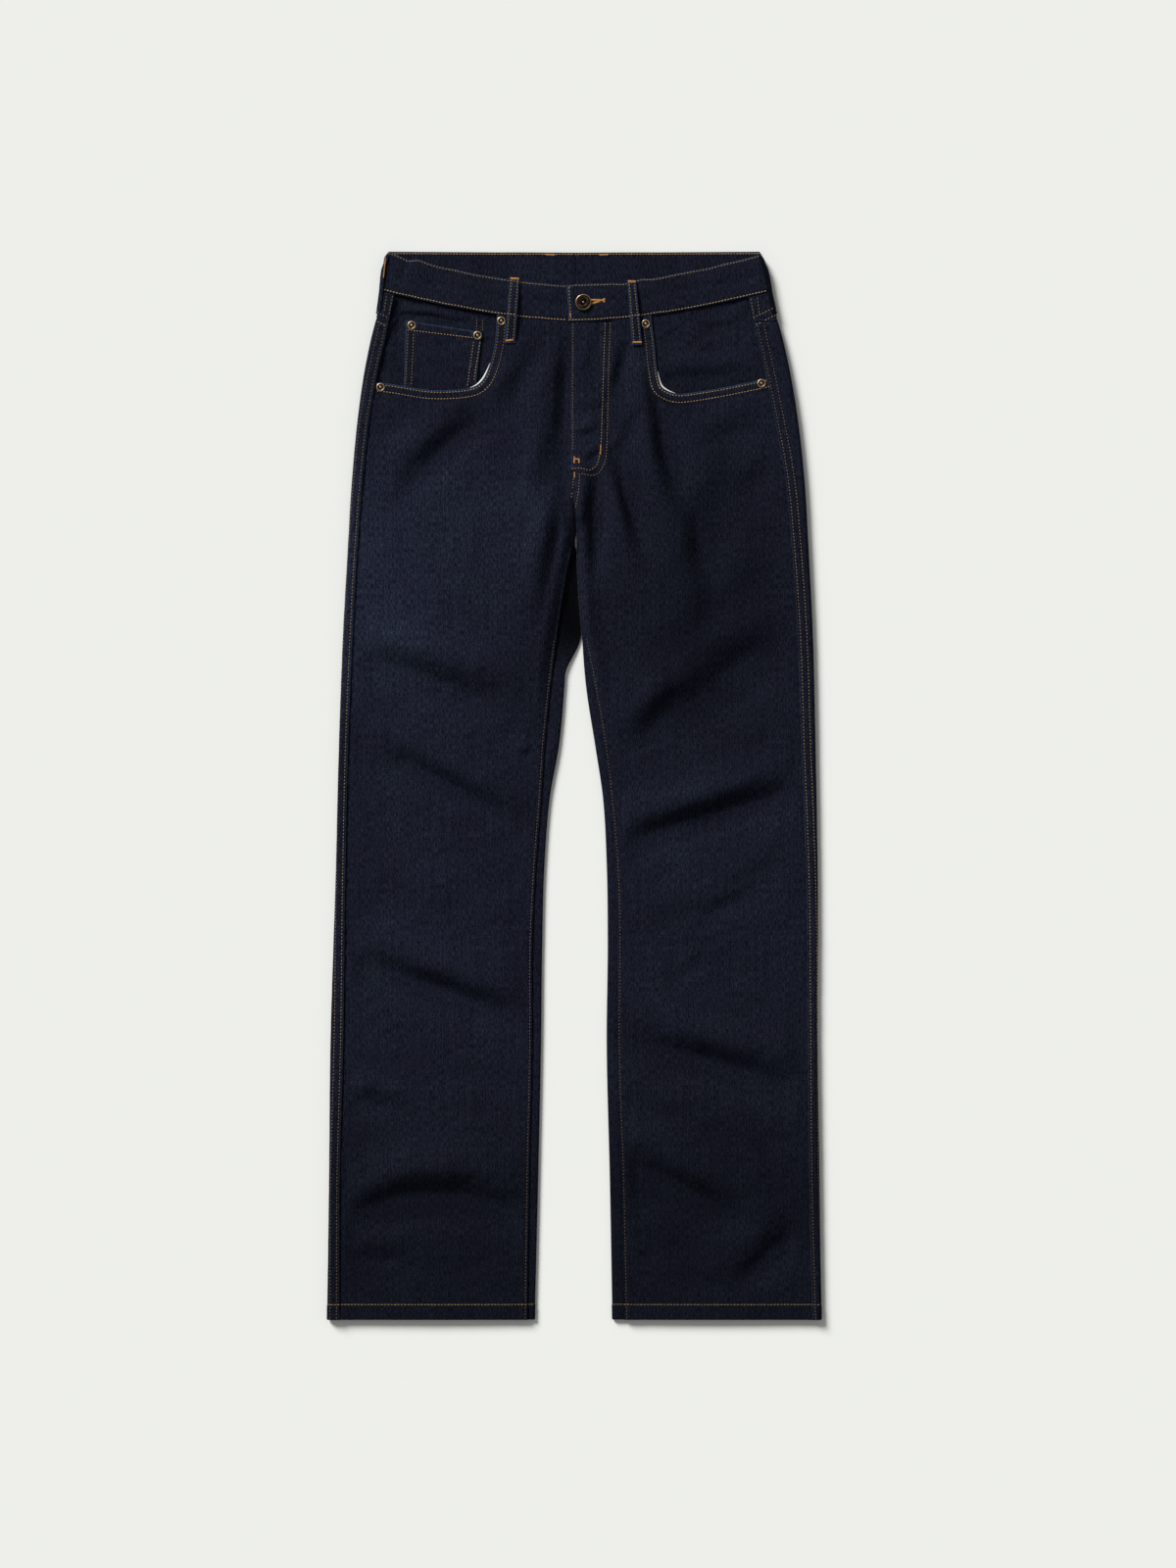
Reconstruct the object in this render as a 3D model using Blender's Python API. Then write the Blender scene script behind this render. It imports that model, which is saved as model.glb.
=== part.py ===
"""Bootcut jeans in dark denim, laid flat on their back with the front up.

+Z is up, +Y runs from the hems to the waist and +X points to the wearer's left. The origin is on
the surface that the jeans lie on, under the middle of their outline. Tables and named sizes are
in millimetres; MM turns them into metres where a mesh is made.

Each leg is a flattened tube. The back panel lies on the surface, turns up round the outer fold
and comes over the front as far as the outseam; at the inner fold it turns up and runs in under
the front's inseam edge. The front is one layer that rests above it.
"""
import math

import bmesh
import bpy
import numpy as np

MM = 0.001

# Cloth, and how its layers lie on each other.
DENIM = 1.1
BAND_WALL = 2.4
HEM_WALL = 2.2
HEM_DEPTH = 15.0
AIR = 0.4
LAYER = DENIM + AIR
SEAM_GAP = 0.3
HALF_GAP = 0.5 * SEAM_GAP
TUCK = 5.0
FLY_LAP = 9.0
RECESS = 1.4            # the seat stands this high, over its pockets and loops

# Main places along the garment and across it.
HEM_Y = -544.5
CROTCH_Y = 256.0
CENTRE_BACK_X = 2.0
SEAT_Y = 285.0          # from here up the back panel is raised by RECESS
TOP_PATCH_Y = 372.0     # from here up the front's rows bend to its top edge
LAP_Y = 300.0           # the fly's lap starts here


def table(names, *rows):
    """Named columns from rows that start at the lowest y."""
    return dict(zip(names.split(), np.array(rows, dtype=float).T))


# Outer fold of each leg, and its outseam on the front, as distances from the middle line.
OUTER = table(
    "y        right_seam right_fold left_seam left_fold",
    (-544.5,  239.2,     252.0,     242.7,    252.0),
    (-400.0,  238.6,     250.0,     239.1,    250.0),
    (-260.0,  235.0,     248.5,     237.9,    248.0),
    (-100.0,  233.0,     243.5,     236.4,    248.3),
    (40.0,    230.0,     240.0,     231.3,    246.0),
    (160.0,   225.0,     235.5,     227.0,    243.0),
    (240.0,   220.6,     231.0,     221.6,    239.0),
    (320.0,   214.3,     226.0,     213.7,    234.0),
    (380.0,   207.5,     220.0,     202.5,    227.0),
    (420.0,   200.3,     214.3,     194.5,    220.3),
    (460.0,   191.3,     206.0,     185.5,    211.3),
    (480.0,   187.3,     200.9,     181.5,    205.6),
    (505.0,   182.0,     197.2,     176.0,    200.0),
)

# Inner fold of each leg, and its inseam on the front.
INNER = table(
    "y        right_seam right_fold left_seam left_fold",
    (-544.5,  47.6,      40.2,      50.9,     38.6),
    (-400.0,  45.7,      36.6,      47.8,     36.0),
    (-260.0,  42.8,      33.7,      43.3,     32.8),
    (-160.0,  42.6,      32.5,      44.0,     33.9),
    (-80.0,   38.7,      30.2,      42.0,     32.8),
    (-10.0,   33.2,      24.4,      36.0,     28.7),
    (40.0,    30.0,      15.5,      29.9,     21.2),
    (100.0,   24.0,      10.0,      20.0,     11.9),
    (160.0,   16.5,      7.0,       8.8,      7.0),
    (200.0,   10.5,      6.0,       5.5,      3.8),
    (240.0,   2.5,       1.0,       3.5,      2.3),
    (256.0,   -2.0,      -2.0,      2.0,      2.0),
)

# Edge of the left front, which laps over the right one above the crotch.
FLY_EDGE = table(
    "y      x",
    (256.0, 2.0),
    (270.0, 1.0),
    (290.0, -1.0),
    (310.0, -3.3),
    (330.0, -3.0),
    (400.0, -3.5),
    (480.0, -2.5),
)

# Height of the front at its seams, and how much higher the middle of the panel swells.
STACK = table(
    "y        edge  crown",
    (-544.5,  5.4,  0.8),
    (-300.0,  5.4,  1.2),
    (100.0,   5.6,  1.4),
    (256.0,   6.2,  1.4),
    (400.0,   7.0,  1.0),
    (545.0,   7.0,  0.6),
)

# Creases of the front: the middle of each, its heading in degrees, how far it reaches either way,
# how far its ends bend aside, and the distance and height of the ridge on the heading's left.
FOLDS = table(
    "x       y       heading reach  bend   width height",
    (-200.0, -474.0, -8.0,   40.0,  0.0,   10.0, 1.2),
    (-141.0, -400.0, 3.0,    95.0,  -28.0, 17.0, 3.6),
    (-205.0, -313.0, -10.0,  32.0,  0.0,   9.0,  1.3),
    (-131.0, -200.5, -20.5,  88.0,  0.0,   12.0, 3.0),
    (-121.0, 4.5,    -28.0,  80.0,  0.0,   9.0,  2.0),
    (-136.0, 116.5,  -19.0,  90.0,  0.0,   15.0, 3.0),
    (190.0,  -483.5, 46.0,   50.0,  0.0,   11.0, 2.0),
    (122.0,  -408.5, -34.0,  72.0,  0.0,   12.0, 2.4),
    (144.0,  -272.5, -17.0,  92.0,  0.0,   14.0, 2.6),
    (134.0,  -23.5,  18.0,   105.0, 0.0,   12.0, 3.6),
    (82.0,   79.5,   53.0,   48.0,  0.0,   12.0, 2.5),
    (159.0,  141.5,  20.0,   65.0,  0.0,   22.0, 3.2),
    (48.0,   293.5,  107.0,  55.0,  0.0,   9.0,  1.8),
    (104.0,  301.5,  110.0,  100.0, 0.0,   11.0, 2.8),
    (-24.0,  261.5,  80.0,   60.0,  0.0,   12.0, 1.5),
    (-146.0, 339.5,  48.0,   75.0,  0.0,   13.0, 2.2),
    (-26.0,  411.5,  73.0,   50.0,  0.0,   9.0,  1.5),
    (46.0,   416.5,  100.0,  40.0,  0.0,   8.0,  1.3),
)
CROTCH_DIP = dict(x=2.0, y=268.0, depth=2.2, radius=15.0)

# Mouth of each front pocket, from the waistband down and out to the outseam.
MOUTH = dict(
    right=table("u y", (78.5, 479.6), (80.5, 452), (86, 428), (94.5, 411), (110, 404),
                (146, 402.5), (185, 408.5), (206.9, 410.9)),
    left=table("u y", (78, 478.6), (81.9, 448.5), (83.4, 431.5), (86.5, 411.5), (91, 403.8),
               (104, 398.9), (121, 400), (153, 405.4), (190, 413), (201, 415.3)),
)

# Waistband: the front dips in the middle, the back shows above it.
BAND_MIDDLE_X = 3.0
BAND_FRONT_FOOT = dict(middle=472.3, rise=31.0, reach=197.0, power=1.6)
BAND_FRONT_TOP = dict(middle=510.0, rise=32.0, reach=190.0, power=1.7)
BAND_BACK_FOOT = dict(middle=505.5, side=506.5)
BAND_BACK_TOP = dict(middle=543.3, side=544.5)
BAND_FOLD = dict(right=(197.2, 193.6), left=(200.0, 193.0))    # at the foot, at the top
BAND_FRONT_Z = 7.8
BAND_CORNER = 5.0
UNDER_END_X = 26.0      # the right half ends here, under the left one
OVER_END_X = (-5.3, -7.5)                                      # at the foot, at the top
UNDER_SINK = 1.2
OVER_RISE = 1.6

# Yoke seam: its height at the outseam, at the outer fold and at the centre back.
YOKE_Y = dict(seam=472.0, fold=483.0, centre=441.0)

# Steps of the grids.
HEM_ROWS = (HEM_Y, HEM_Y + HEM_DEPTH)
CROTCH_ROWS = (202.0, 214.0, 226.0, 236.0, 246.0, CROTCH_Y, 270.0, SEAT_Y, LAP_Y)
FRONT_ROWS = np.concatenate([HEM_ROWS, np.arange(-512.0, 190.0, 20.0), CROTCH_ROWS,
                             (318.0, 336.0, 354.0, TOP_PATCH_Y)])
BACK_ROWS = np.concatenate([HEM_ROWS, np.arange(-512.0, 190.0, 40.0), CROTCH_ROWS])
ARC_ANGLES = np.radians((90.0, 45.0, 0.0, -45.0, -90.0))

NAVY = (0.017, 0.021, 0.036)
POCKETING = (0.62, 0.60, 0.55)
BRASS = (0.30, 0.20, 0.11)


def smooth(columns, name, y):
    """Cubic through the named column, each tangent taken from the point's two neighbours."""
    at, value = columns["y"], columns[name]
    slope = np.gradient(value, at)
    y = np.clip(y, at[0], at[-1])
    i = np.clip(np.searchsorted(at, y, side="right") - 1, 0, len(at) - 2)
    span = at[i + 1] - at[i]
    t = (y - at[i]) / span
    start = (1 + 2 * t) * (1 - t) ** 2 * value[i] + t * (1 - t) ** 2 * span * slope[i]
    end = t ** 2 * (3 - 2 * t) * value[i + 1] + t ** 2 * (t - 1) * span * slope[i + 1]
    return start + end


def ramp(t):
    """0 below 0, 1 above 1, and a smooth step between."""
    t = np.clip(t, 0.0, 1.0)
    return t * t * (3.0 - 2.0 * t)


class Side:
    """One side of the garment; u runs outward from the middle line, so x = sign * u."""

    def __init__(self, name, sign):
        self.name = name
        self.sign = sign

    def outseam(self, y):
        return smooth(OUTER, self.name + "_seam", y)

    def outer_fold(self, y):
        return smooth(OUTER, self.name + "_fold", y)

    def inseam(self, y):
        """The inseam, and above the crotch the fly's edge."""
        fly = self.sign * smooth(FLY_EDGE, "x", y)
        return np.where(y < CROTCH_Y, smooth(INNER, self.name + "_seam", y), fly)

    def inner_fold(self, y):
        """The inner fold, and above the crotch the centre back seam."""
        centre = self.sign * CENTRE_BACK_X
        fold = np.where(y < CROTCH_Y, smooth(INNER, self.name + "_fold", y), centre)
        return fold + HALF_GAP


RIGHT = Side("right", -1.0)
LEFT = Side("left", 1.0)


def fold_height(x, y):
    """Sum of the creases. Each is a ridge beside a trough: h * a * exp((1 - a * a) / 2), with a
    the distance to its left in widths, tapering to nothing at its two ends."""
    total = np.zeros(np.shape(x))
    for fx, fy, heading, reach, bend, width, height in zip(*FOLDS.values()):
        cos, sin = math.cos(math.radians(heading)), math.sin(math.radians(heading))
        along = ((x - fx) * cos + (y - fy) * sin) / reach
        aside = ((y - fy) * cos - (x - fx) * sin - bend * along ** 2) / width
        taper = np.clip(1.0 - along ** 2, 0.0, 1.0) ** 1.5
        total += height * aside * np.exp(0.5 - 0.5 * aside ** 2) * taper
    return total


def fold_room(side, u, y):
    """1 within a front, 0 at its seams, its hem and beside its pocket's mouth."""
    outer = ramp((side.outseam(y) - u - 5.0) / 20.0)
    inner = np.maximum(ramp((u - side.inseam(y) - 5.0) / 20.0), ramp((y - CROTCH_Y) / 25.0))
    hem = ramp((y - HEM_Y - HEM_DEPTH) / 30.0)
    mouth = 1.0 - ramp((y - 350.0) / 35.0) * ramp((u - 60.0) / 15.0)
    return outer * inner * hem * mouth


def front_height(side, u, y):
    """Height of the front's outer face: level at the seams and crowned between them, across
    each leg below the crotch and across the whole width above it, with creases on top."""
    u, y = np.broadcast_arrays(np.asarray(u, dtype=float), np.asarray(y, dtype=float))
    x = side.sign * u
    inner, outer = side.inseam(y), side.outseam(y)
    right, left = RIGHT.outseam(y), LEFT.outseam(y)
    across_leg = np.clip((u - inner) / (outer - inner), 0.0, 1.0)
    across_hips = np.clip((x + right) / (right + left), 0.0, 1.0)
    hips = ramp((y - CROTCH_Y) / 60.0)
    crown = (1.0 - hips) * np.sin(math.pi * across_leg) ** 0.8
    crown = crown + hips * np.sin(math.pi * across_hips) ** 0.8
    z = smooth(STACK, "edge", y) + smooth(STACK, "crown", y) * crown
    z = z + fold_height(x, y) * fold_room(side, u, y)
    away = np.hypot(x - CROTCH_DIP["x"], y - CROTCH_DIP["y"]) / CROTCH_DIP["radius"]
    return z - CROTCH_DIP["depth"] * np.exp(-away ** 2)


def band_curve(shape, x):
    """Edge of the waistband's front: middle + rise * (distance / reach) ** power."""
    away = np.abs(x - BAND_MIDDLE_X) / shape["reach"]
    return shape["middle"] + shape["rise"] * away ** shape["power"]


def band_height(side, u):
    """Outer face of the waistband's front; at the button the left half lies over the right."""
    if side is RIGHT:
        return BAND_FRONT_Z - UNDER_SINK * ramp((24.0 - u) / 14.0)
    return BAND_FRONT_Z + OVER_RISE * (1.0 - ramp((u - 30.0) / 34.0))


def along_curve(points, t):
    """Smooth curve through a table of u and y; t goes from 0 at its first row to 1 at its last."""
    u, y = points["u"], points["y"]
    knots = dict(y=np.arange(len(u), dtype=float), u=u, v=y)
    place = np.asarray(t) * (len(u) - 1)
    return smooth(knots, "u", place), smooth(knots, "v", place)


# ---- Making meshes --------------------------------------------------------------------------

def finish(obj, colour, roughness=0.9, metallic=0.0):
    """Gives the piece its own plain material."""
    material = bpy.data.materials.new(obj.name)
    material.use_nodes = True
    shader = material.node_tree.nodes["Principled BSDF"]
    shader.inputs["Base Color"].default_value = (*colour, 1.0)
    shader.inputs["Roughness"].default_value = roughness
    shader.inputs["Metallic"].default_value = metallic
    obj.data.materials.append(material)
    return obj


def place(name, mesh):
    """Puts the mesh into the scene as the named piece."""
    obj = bpy.data.objects.new(name, mesh)
    bpy.context.scene.collection.objects.link(obj)
    return obj


def cloth(name, side, u, y, z, wall=DENIM, share=None, colour=NAVY):
    """A cloth wall: its outer face is the grid (u, y, z), whose columns run outward along the
    top face, and the wall lies inside it. share thins or thickens the wall point by point."""
    rows, columns = u.shape
    points = np.stack([side.sign * u, y, z], axis=-1).reshape(-1, 3) * MM
    index = np.arange(rows * columns).reshape(rows, columns)
    corners = [index[:-1, :-1], index[:-1, 1:], index[1:, 1:], index[1:, :-1]]
    if side.sign < 0:
        corners.reverse()
    faces = np.stack(corners, axis=-1).reshape(-1, 4)
    mesh = bpy.data.meshes.new(name)
    mesh.from_pydata(points.tolist(), [], faces.tolist())
    mesh.shade_smooth()
    obj = place(name, mesh)
    solid = obj.modifiers.new("Wall", "SOLIDIFY")
    solid.thickness = wall * MM
    solid.offset = -1.0
    if share is not None:
        group = obj.vertex_groups.new(name="Wall")
        for vertex, weight in enumerate(np.ravel(share)):
            group.add([vertex], float(weight), "REPLACE")
        solid.vertex_group = "Wall"
    return finish(obj, colour)


def turned(name, profile, x, y, z, steps, colour=BRASS):
    """A round piece: the profile of (radius, height) spun about the upright through (x, y, z)."""
    mesh = bpy.data.meshes.new(name)
    bm = bmesh.new()
    points = [bm.verts.new((radius * MM, 0.0, height * MM)) for radius, height in profile]
    edges = [bm.edges.new(pair) for pair in zip(points, points[1:])]
    bmesh.ops.spin(bm, geom=points + edges, cent=(0, 0, 0), axis=(0, 0, 1),
                   angle=math.tau, steps=steps)
    bmesh.ops.remove_doubles(bm, verts=bm.verts, dist=0.01 * MM)
    bmesh.ops.recalc_face_normals(bm, faces=bm.faces)
    bm.to_mesh(mesh)
    bm.free()
    mesh.shade_smooth()
    obj = place(name, mesh)
    obj.location = (x * MM, y * MM, z * MM)
    return finish(obj, colour, roughness=0.45, metallic=1.0)


def plate(name, corners, bottom, top):
    """A flat piece of cloth between two heights, from its corners as (x, y)."""
    mesh = bpy.data.meshes.new(name)
    bm = bmesh.new()
    base = bm.faces.new([bm.verts.new((x * MM, y * MM, bottom * MM)) for x, y in corners])
    raised = bmesh.ops.extrude_face_region(bm, geom=[base])["geom"]
    lift = [vertex for vertex in raised if isinstance(vertex, bmesh.types.BMVert)]
    bmesh.ops.translate(bm, verts=lift, vec=(0.0, 0.0, (top - bottom) * MM))
    bmesh.ops.recalc_face_normals(bm, faces=bm.faces)
    bm.to_mesh(mesh)
    bm.free()
    return finish(place(name, mesh), NAVY)


# ---- Front panels ---------------------------------------------------------------------------

FRONT_SPACES = 15       # columns across a front, the last of them tucked under the back's strip
FOOT_SPACES = 4         # of these, the ones that end at the waistband's foot
UPRIGHT_COLUMN = 8      # the last column that ends on the upright side of the pocket's mouth
CORNER_SHARE = 0.92     # how far out it starts, as a share of where it ends
EDGE_SPACE = 6.0        # from the inner edge to the second column
TOP_ROWS = 6


def lap(side, y):
    """How far a front runs past the fly's edge."""
    return FLY_LAP * ramp((y - LAP_Y) / 40.0) if side is RIGHT else 0.0 * y


def mouth_edge(side):
    """Where the front's columns end along the pocket's mouth, as u and y."""
    return along_curve(MOUTH[side.name], np.linspace(0.0, 1.0, FRONT_SPACES - FOOT_SPACES + 1))


def fanned_shares(side):
    """Shares of the width that lead each column straight up to its end on the mouth: even as
    far as the mouth's lower corner, then below the column's own end."""
    mouth_u, _ = mouth_edge(side)
    inner = side.inseam(TOP_PATCH_Y) + EDGE_SPACE
    outer = side.outseam(TOP_PATCH_Y)
    corner = UPRIGHT_COLUMN - FOOT_SPACES
    to_corner = np.linspace(inner, CORNER_SHARE * mouth_u[corner], UPRIGHT_COLUMN)
    u = np.concatenate([to_corner, mouth_u[corner + 1:-2], [outer]])
    return (u - inner) / (outer - inner)


def front_columns(side, y):
    """u of each column at the heights y: the inner edge, even spaces that fan out towards the
    pocket's mouth, the outseam, and the tuck."""
    inner, outer = side.inseam(y), side.outseam(y)
    even = np.linspace(0.0, 1.0, FRONT_SPACES - 1)
    fan = ramp((y - CROTCH_ROWS[0]) / (TOP_PATCH_Y - CROTCH_ROWS[0]))[:, None]
    share = even + fan * (fanned_shares(side) - even)
    middle = inner[:, None] + EDGE_SPACE + (outer - inner - EDGE_SPACE)[:, None] * share
    edge = inner + HALF_GAP - lap(side, y)
    return np.column_stack([edge, middle, outer + TUCK])


def front_top(side):
    """The front's top edge: the waistband's foot as far as the pocket, then the mouth."""
    mouth_u, mouth_y = mouth_edge(side)
    first = front_columns(side, np.array([475.0]))[0, :2]
    foot_u = np.append(first[0], np.linspace(first[1], mouth_u[0], FOOT_SPACES)[:-1])
    foot_y = band_curve(BAND_FRONT_FOOT, side.sign * foot_u) - SEAM_GAP
    return np.append(foot_u, mouth_u), np.append(foot_y, mouth_y)


def front(side):
    """One front: straight rows up to the hips, then rows that bend to the top edge."""
    u = front_columns(side, FRONT_ROWS)
    y = np.repeat(FRONT_ROWS[:, None], u.shape[1], axis=1)
    top_u, top_y = front_top(side)
    t = np.linspace(0.0, 1.0, TOP_ROWS + 1)[1:, None]
    across = np.linspace(0.0, 1.0, FRONT_SPACES + 1)
    patch_u = (1 - t) * u[-1] + t * top_u
    patch_y = (1 - t) * TOP_PATCH_Y + t * top_y
    fly = front_columns(side, patch_y[:, 0])[:, 0] - patch_u[:, 0]
    outseam = side.outseam(patch_y[:, -1]) + TUCK - patch_u[:, -1]
    patch_u = patch_u + (1 - t) * ((1 - across) * fly[:, None] + across * outseam[:, None])
    u = np.vstack([u, patch_u])
    y = np.vstack([y, patch_y])
    z = front_height(side, u, y)
    if side is RIGHT:
        z = z - LAYER * ramp((22.0 - u) / 16.0) * ramp((y - SEAT_Y) / (LAP_Y - SEAT_Y))
    share = np.full(u.shape, DENIM / HEM_WALL)
    share[0, 2:-3] = 1.0
    share[1, 2:-3] = 1.0
    return cloth("front_" + side.name, side, u, y, z, HEM_WALL, share)


# ---- Back panels and yokes ------------------------------------------------------------------

FLOOR_SHARES = (0.95, 0.89, 0.74, 0.58, 0.42, 0.26, 0.12)
RAISED_SHARE = 0.9      # floor columns within this share of the width are raised over the seat
BEND_STEPS = 4
BACK_COLUMNS = 2 + len(ARC_ANGLES) + len(FLOOR_SHARES) + BEND_STEPS + 2


def back_section(side, y):
    """u and z of the back's outer face for the heights y, one column of y for each column here:
    strip over the front, outer fold, floor, inner fold and the flap under the inseam."""
    u, z = np.empty(y.shape), np.empty(y.shape)
    top = smooth(STACK, "edge", y) + LAYER
    radius = 0.5 * top
    centre = side.outer_fold(y) - radius
    seam = side.outseam(y) + HALF_GAP

    inner_top = front_height(side, side.inseam(y), y) - LAYER
    bend = math.pi * np.interp(y, (226.0, CROTCH_Y), (1.0, 0.0))
    safe = np.maximum(bend, 0.01)
    small = (inner_top - np.sin(safe)) / np.maximum(2.0, math.pi / safe * (1.0 - np.cos(safe)))
    curl = math.pi * small / safe
    full_flap = side.inseam(y) + TUCK - side.inner_fold(y) - small
    flap = 1.0 + (full_flap - 1.0) * ramp((226.0 - y) / 24.0)
    reach_in = np.where(bend > 0.5 * math.pi, curl,
                        curl * np.sin(safe) + flap * np.cos(safe))
    start = side.inner_fold(y) + reach_in

    lift = RECESS * seat_lift(y)
    shapes = [(seam + share * (centre - seam), top) for share in (0.0, 0.5)]
    shapes += [(centre + radius * math.cos(angle), radius + radius * math.sin(angle))
               for angle in ARC_ANGLES]
    shapes += [(start + share * (centre - start), lift * (share < RAISED_SHARE))
               for share in FLOOR_SHARES]
    for step in range(BEND_STEPS + 1):
        turn = safe * step / BEND_STEPS
        shapes.append((start - curl * np.sin(turn), curl * (1.0 - np.cos(turn)) + lift))
    shapes.append((shapes[-1][0] - flap * np.cos(safe), shapes[-1][1] + flap * np.sin(safe)))
    return tuple(np.stack([shape[axis][:, column] for column, shape in enumerate(shapes)], axis=1)
                 for axis in (0, 1))


def seat_lift(y):
    """0 on the legs, 1 where the seat lies on its pockets."""
    return ramp((y - CROTCH_Y) / (SEAT_Y - CROTCH_Y))


def column_places():
    """How far along its section each back column is: 0 on the strip, 1 at the outer fold, and
    from there to 2 at the centre back."""
    arc = np.linspace(0.0, 1.0, len(ARC_ANGLES))
    floor = 2.0 - np.concatenate([FLOOR_SHARES, np.linspace(0.08, 0.0, BEND_STEPS + 2)])
    return np.concatenate([(0.0, 0.0), arc, floor])


def yoke_line():
    """Height of the yoke seam at each back column."""
    levels = (YOKE_Y["seam"], YOKE_Y["fold"], YOKE_Y["centre"])
    return np.interp(column_places(), (0.0, 1.0, 2.0), levels)


def back(side):
    """One back panel, from the hem to the yoke seam."""
    straight = np.repeat(BACK_ROWS[:, None], BACK_COLUMNS, axis=1)
    t = np.linspace(0.0, 1.0, 9)[1:, None]
    upper = LAP_Y + t * (yoke_line() - LAP_Y)
    y = np.vstack([straight, upper])
    u, z = back_section(side, y)
    share = np.full(u.shape, DENIM / HEM_WALL)
    floor = slice(8, 13)
    share[0, floor] = 1.0
    share[1, floor] = 1.0
    return cloth("back_" + side.name, side, u, y, z, HEM_WALL, share)


def yoke(side):
    """The yoke, between the back panel and the waistband, round the same fold."""
    places = column_places()
    fold_u = side.outer_fold(500.0)
    strip_foot = band_curve(BAND_FRONT_FOOT, side.sign * (fold_u - 6.0))
    middle, outer = BAND_BACK_FOOT["middle"], BAND_BACK_FOOT["side"]
    foot = np.interp(places, (0.0, 1.0, 2.0), (strip_foot, outer, middle))
    seam_foot = band_curve(BAND_FRONT_FOOT, side.sign * side.outseam(500.0))
    foot[:2] = strip_foot + np.array([1.0, 0.5]) * (seam_foot - strip_foot)
    bottom = yoke_line() + 2.5 * SEAM_GAP
    t = np.linspace(0.0, 1.0, 4)[:, None]
    y = bottom + t * (foot - 2 * SEAM_GAP - bottom)
    u, z = back_section(side, y)
    return cloth("yoke_" + side.name, side, u, y, z)


# ---- Waistband ------------------------------------------------------------------------------

BAND_STATIONS = dict(right=(-8.0, 10.0, 24.0), left=(12.0, 30.0, 47.0, 64.0))
BAND_BACK_STATIONS = (170.0, 130.0, 93.0, 53.0, 28.0)


def band_back_height(x):
    """Outer face of the waistband's back, raised over the two loops at the centre back."""
    return RECESS * (1.0 - ramp((np.abs(x - BAND_MIDDLE_X) - 50.0) / 40.0))


def band_half(side):
    """One half of the waistband: from the button round the side to the centre back."""
    foot_fold, top_fold = BAND_FOLD[side.name]
    radius = 0.5 * BAND_FRONT_Z
    rows = np.array([0.0, 0.5, 1.0])[:, None]
    fold = foot_fold + rows * (top_fold - foot_fold)
    end = (-UNDER_END_X, -UNDER_END_X) if side is RIGHT else OVER_END_X
    first = end[0] + rows * (end[1] - end[0])
    named = np.array(BAND_STATIONS[side.name])
    even = np.linspace(named[-1], foot_fold - radius - 8.0, 8)[1:]
    fixed = np.concatenate([named, even])
    front_u = np.hstack([first, np.repeat(fixed[None, :], 3, axis=0)])
    front_x = side.sign * front_u
    foot = band_curve(BAND_FRONT_FOOT, front_x)
    top = band_curve(BAND_FRONT_TOP, front_x)
    front_y = foot + rows * (top - foot)
    front_z = band_height(side, front_u)

    turn = (0.5 * math.pi - ARC_ANGLES) / math.pi
    arc_u = fold - radius + radius * np.cos(ARC_ANGLES)
    arc_z = np.repeat((radius + radius * np.sin(ARC_ANGLES))[None, :], 3, axis=0)
    fold_foot = band_curve(BAND_FRONT_FOOT, side.sign * (fold - radius))
    fold_top = band_curve(BAND_FRONT_TOP, side.sign * (fold - radius))
    arc_foot = fold_foot + turn * (BAND_BACK_FOOT["side"] - fold_foot)
    arc_top = fold_top + turn * (BAND_BACK_TOP["side"] - fold_top)
    arc_top = arc_top - BAND_CORNER * np.cos(ARC_ANGLES)
    arc_y = arc_foot + rows * (arc_top - arc_foot)

    stations = np.append(BAND_BACK_STATIONS, side.sign * CENTRE_BACK_X + HALF_GAP)
    back_u = np.repeat(stations[None, :], 3, axis=0)
    share = (back_u - back_u[:, -1:]) / (foot_fold - radius - back_u[:, -1:])
    back_foot = BAND_BACK_FOOT["middle"] + share * (BAND_BACK_FOOT["side"] - BAND_BACK_FOOT["middle"])
    back_top = BAND_BACK_TOP["middle"] + share * (BAND_BACK_TOP["side"] - BAND_BACK_TOP["middle"])
    back_y = back_foot + rows * (back_top - back_foot)
    back_z = band_back_height(side.sign * back_u)

    u = np.hstack([front_u, arc_u, back_u])
    y = np.hstack([front_y, arc_y, back_y])
    z = np.hstack([front_z, arc_z, back_z])
    return cloth("waistband_" + side.name, side, u, y, z, BAND_WALL)


# ---- Pockets --------------------------------------------------------------------------------

FACING_INNER_U = 70.0
FACING_BOTTOM_Y = 390.0
COIN_CORNERS = ((101.5, 396.0), (173.5, 396.0), (94.1, 461.5), (171.6, 473.7))
BAG_STEPS = slice(3, 7)
BAG_WIDTHS = (0.8, 2.4, 2.4, 0.8)
BACK_POCKET = ((40.0, 430.0), (176.0, 440.0), (170.0, 308.0), (110.0, 290.0), (50.0, 300.0))


def facing_drop(side, u):
    """How far a facing lies below the front; the right one leaves room for the coin pocket."""
    if side is RIGHT:
        return 2 * LAYER - LAYER * ramp((u - 178.0) / 12.0)
    return LAYER + 0.0 * u


def pocket_facing(side):
    """Denim facing that shows in the pocket's mouth, under the front."""
    across = np.linspace(0.0, 1.0, 9)
    t = np.linspace(0.0, 1.0, 7)[:, None]
    outer = side.outseam(FACING_BOTTOM_Y + t * (500.0 - FACING_BOTTOM_Y)) + TUCK
    u = FACING_INNER_U + across * (outer - FACING_INNER_U)
    top = band_curve(BAND_FRONT_FOOT, side.sign * u) - SEAM_GAP
    y = FACING_BOTTOM_Y + t * (top - FACING_BOTTOM_Y)
    z = front_height(side, u, y) - facing_drop(side, u)
    return cloth("pocket_facing_" + side.name, side, u, y, z)


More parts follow.
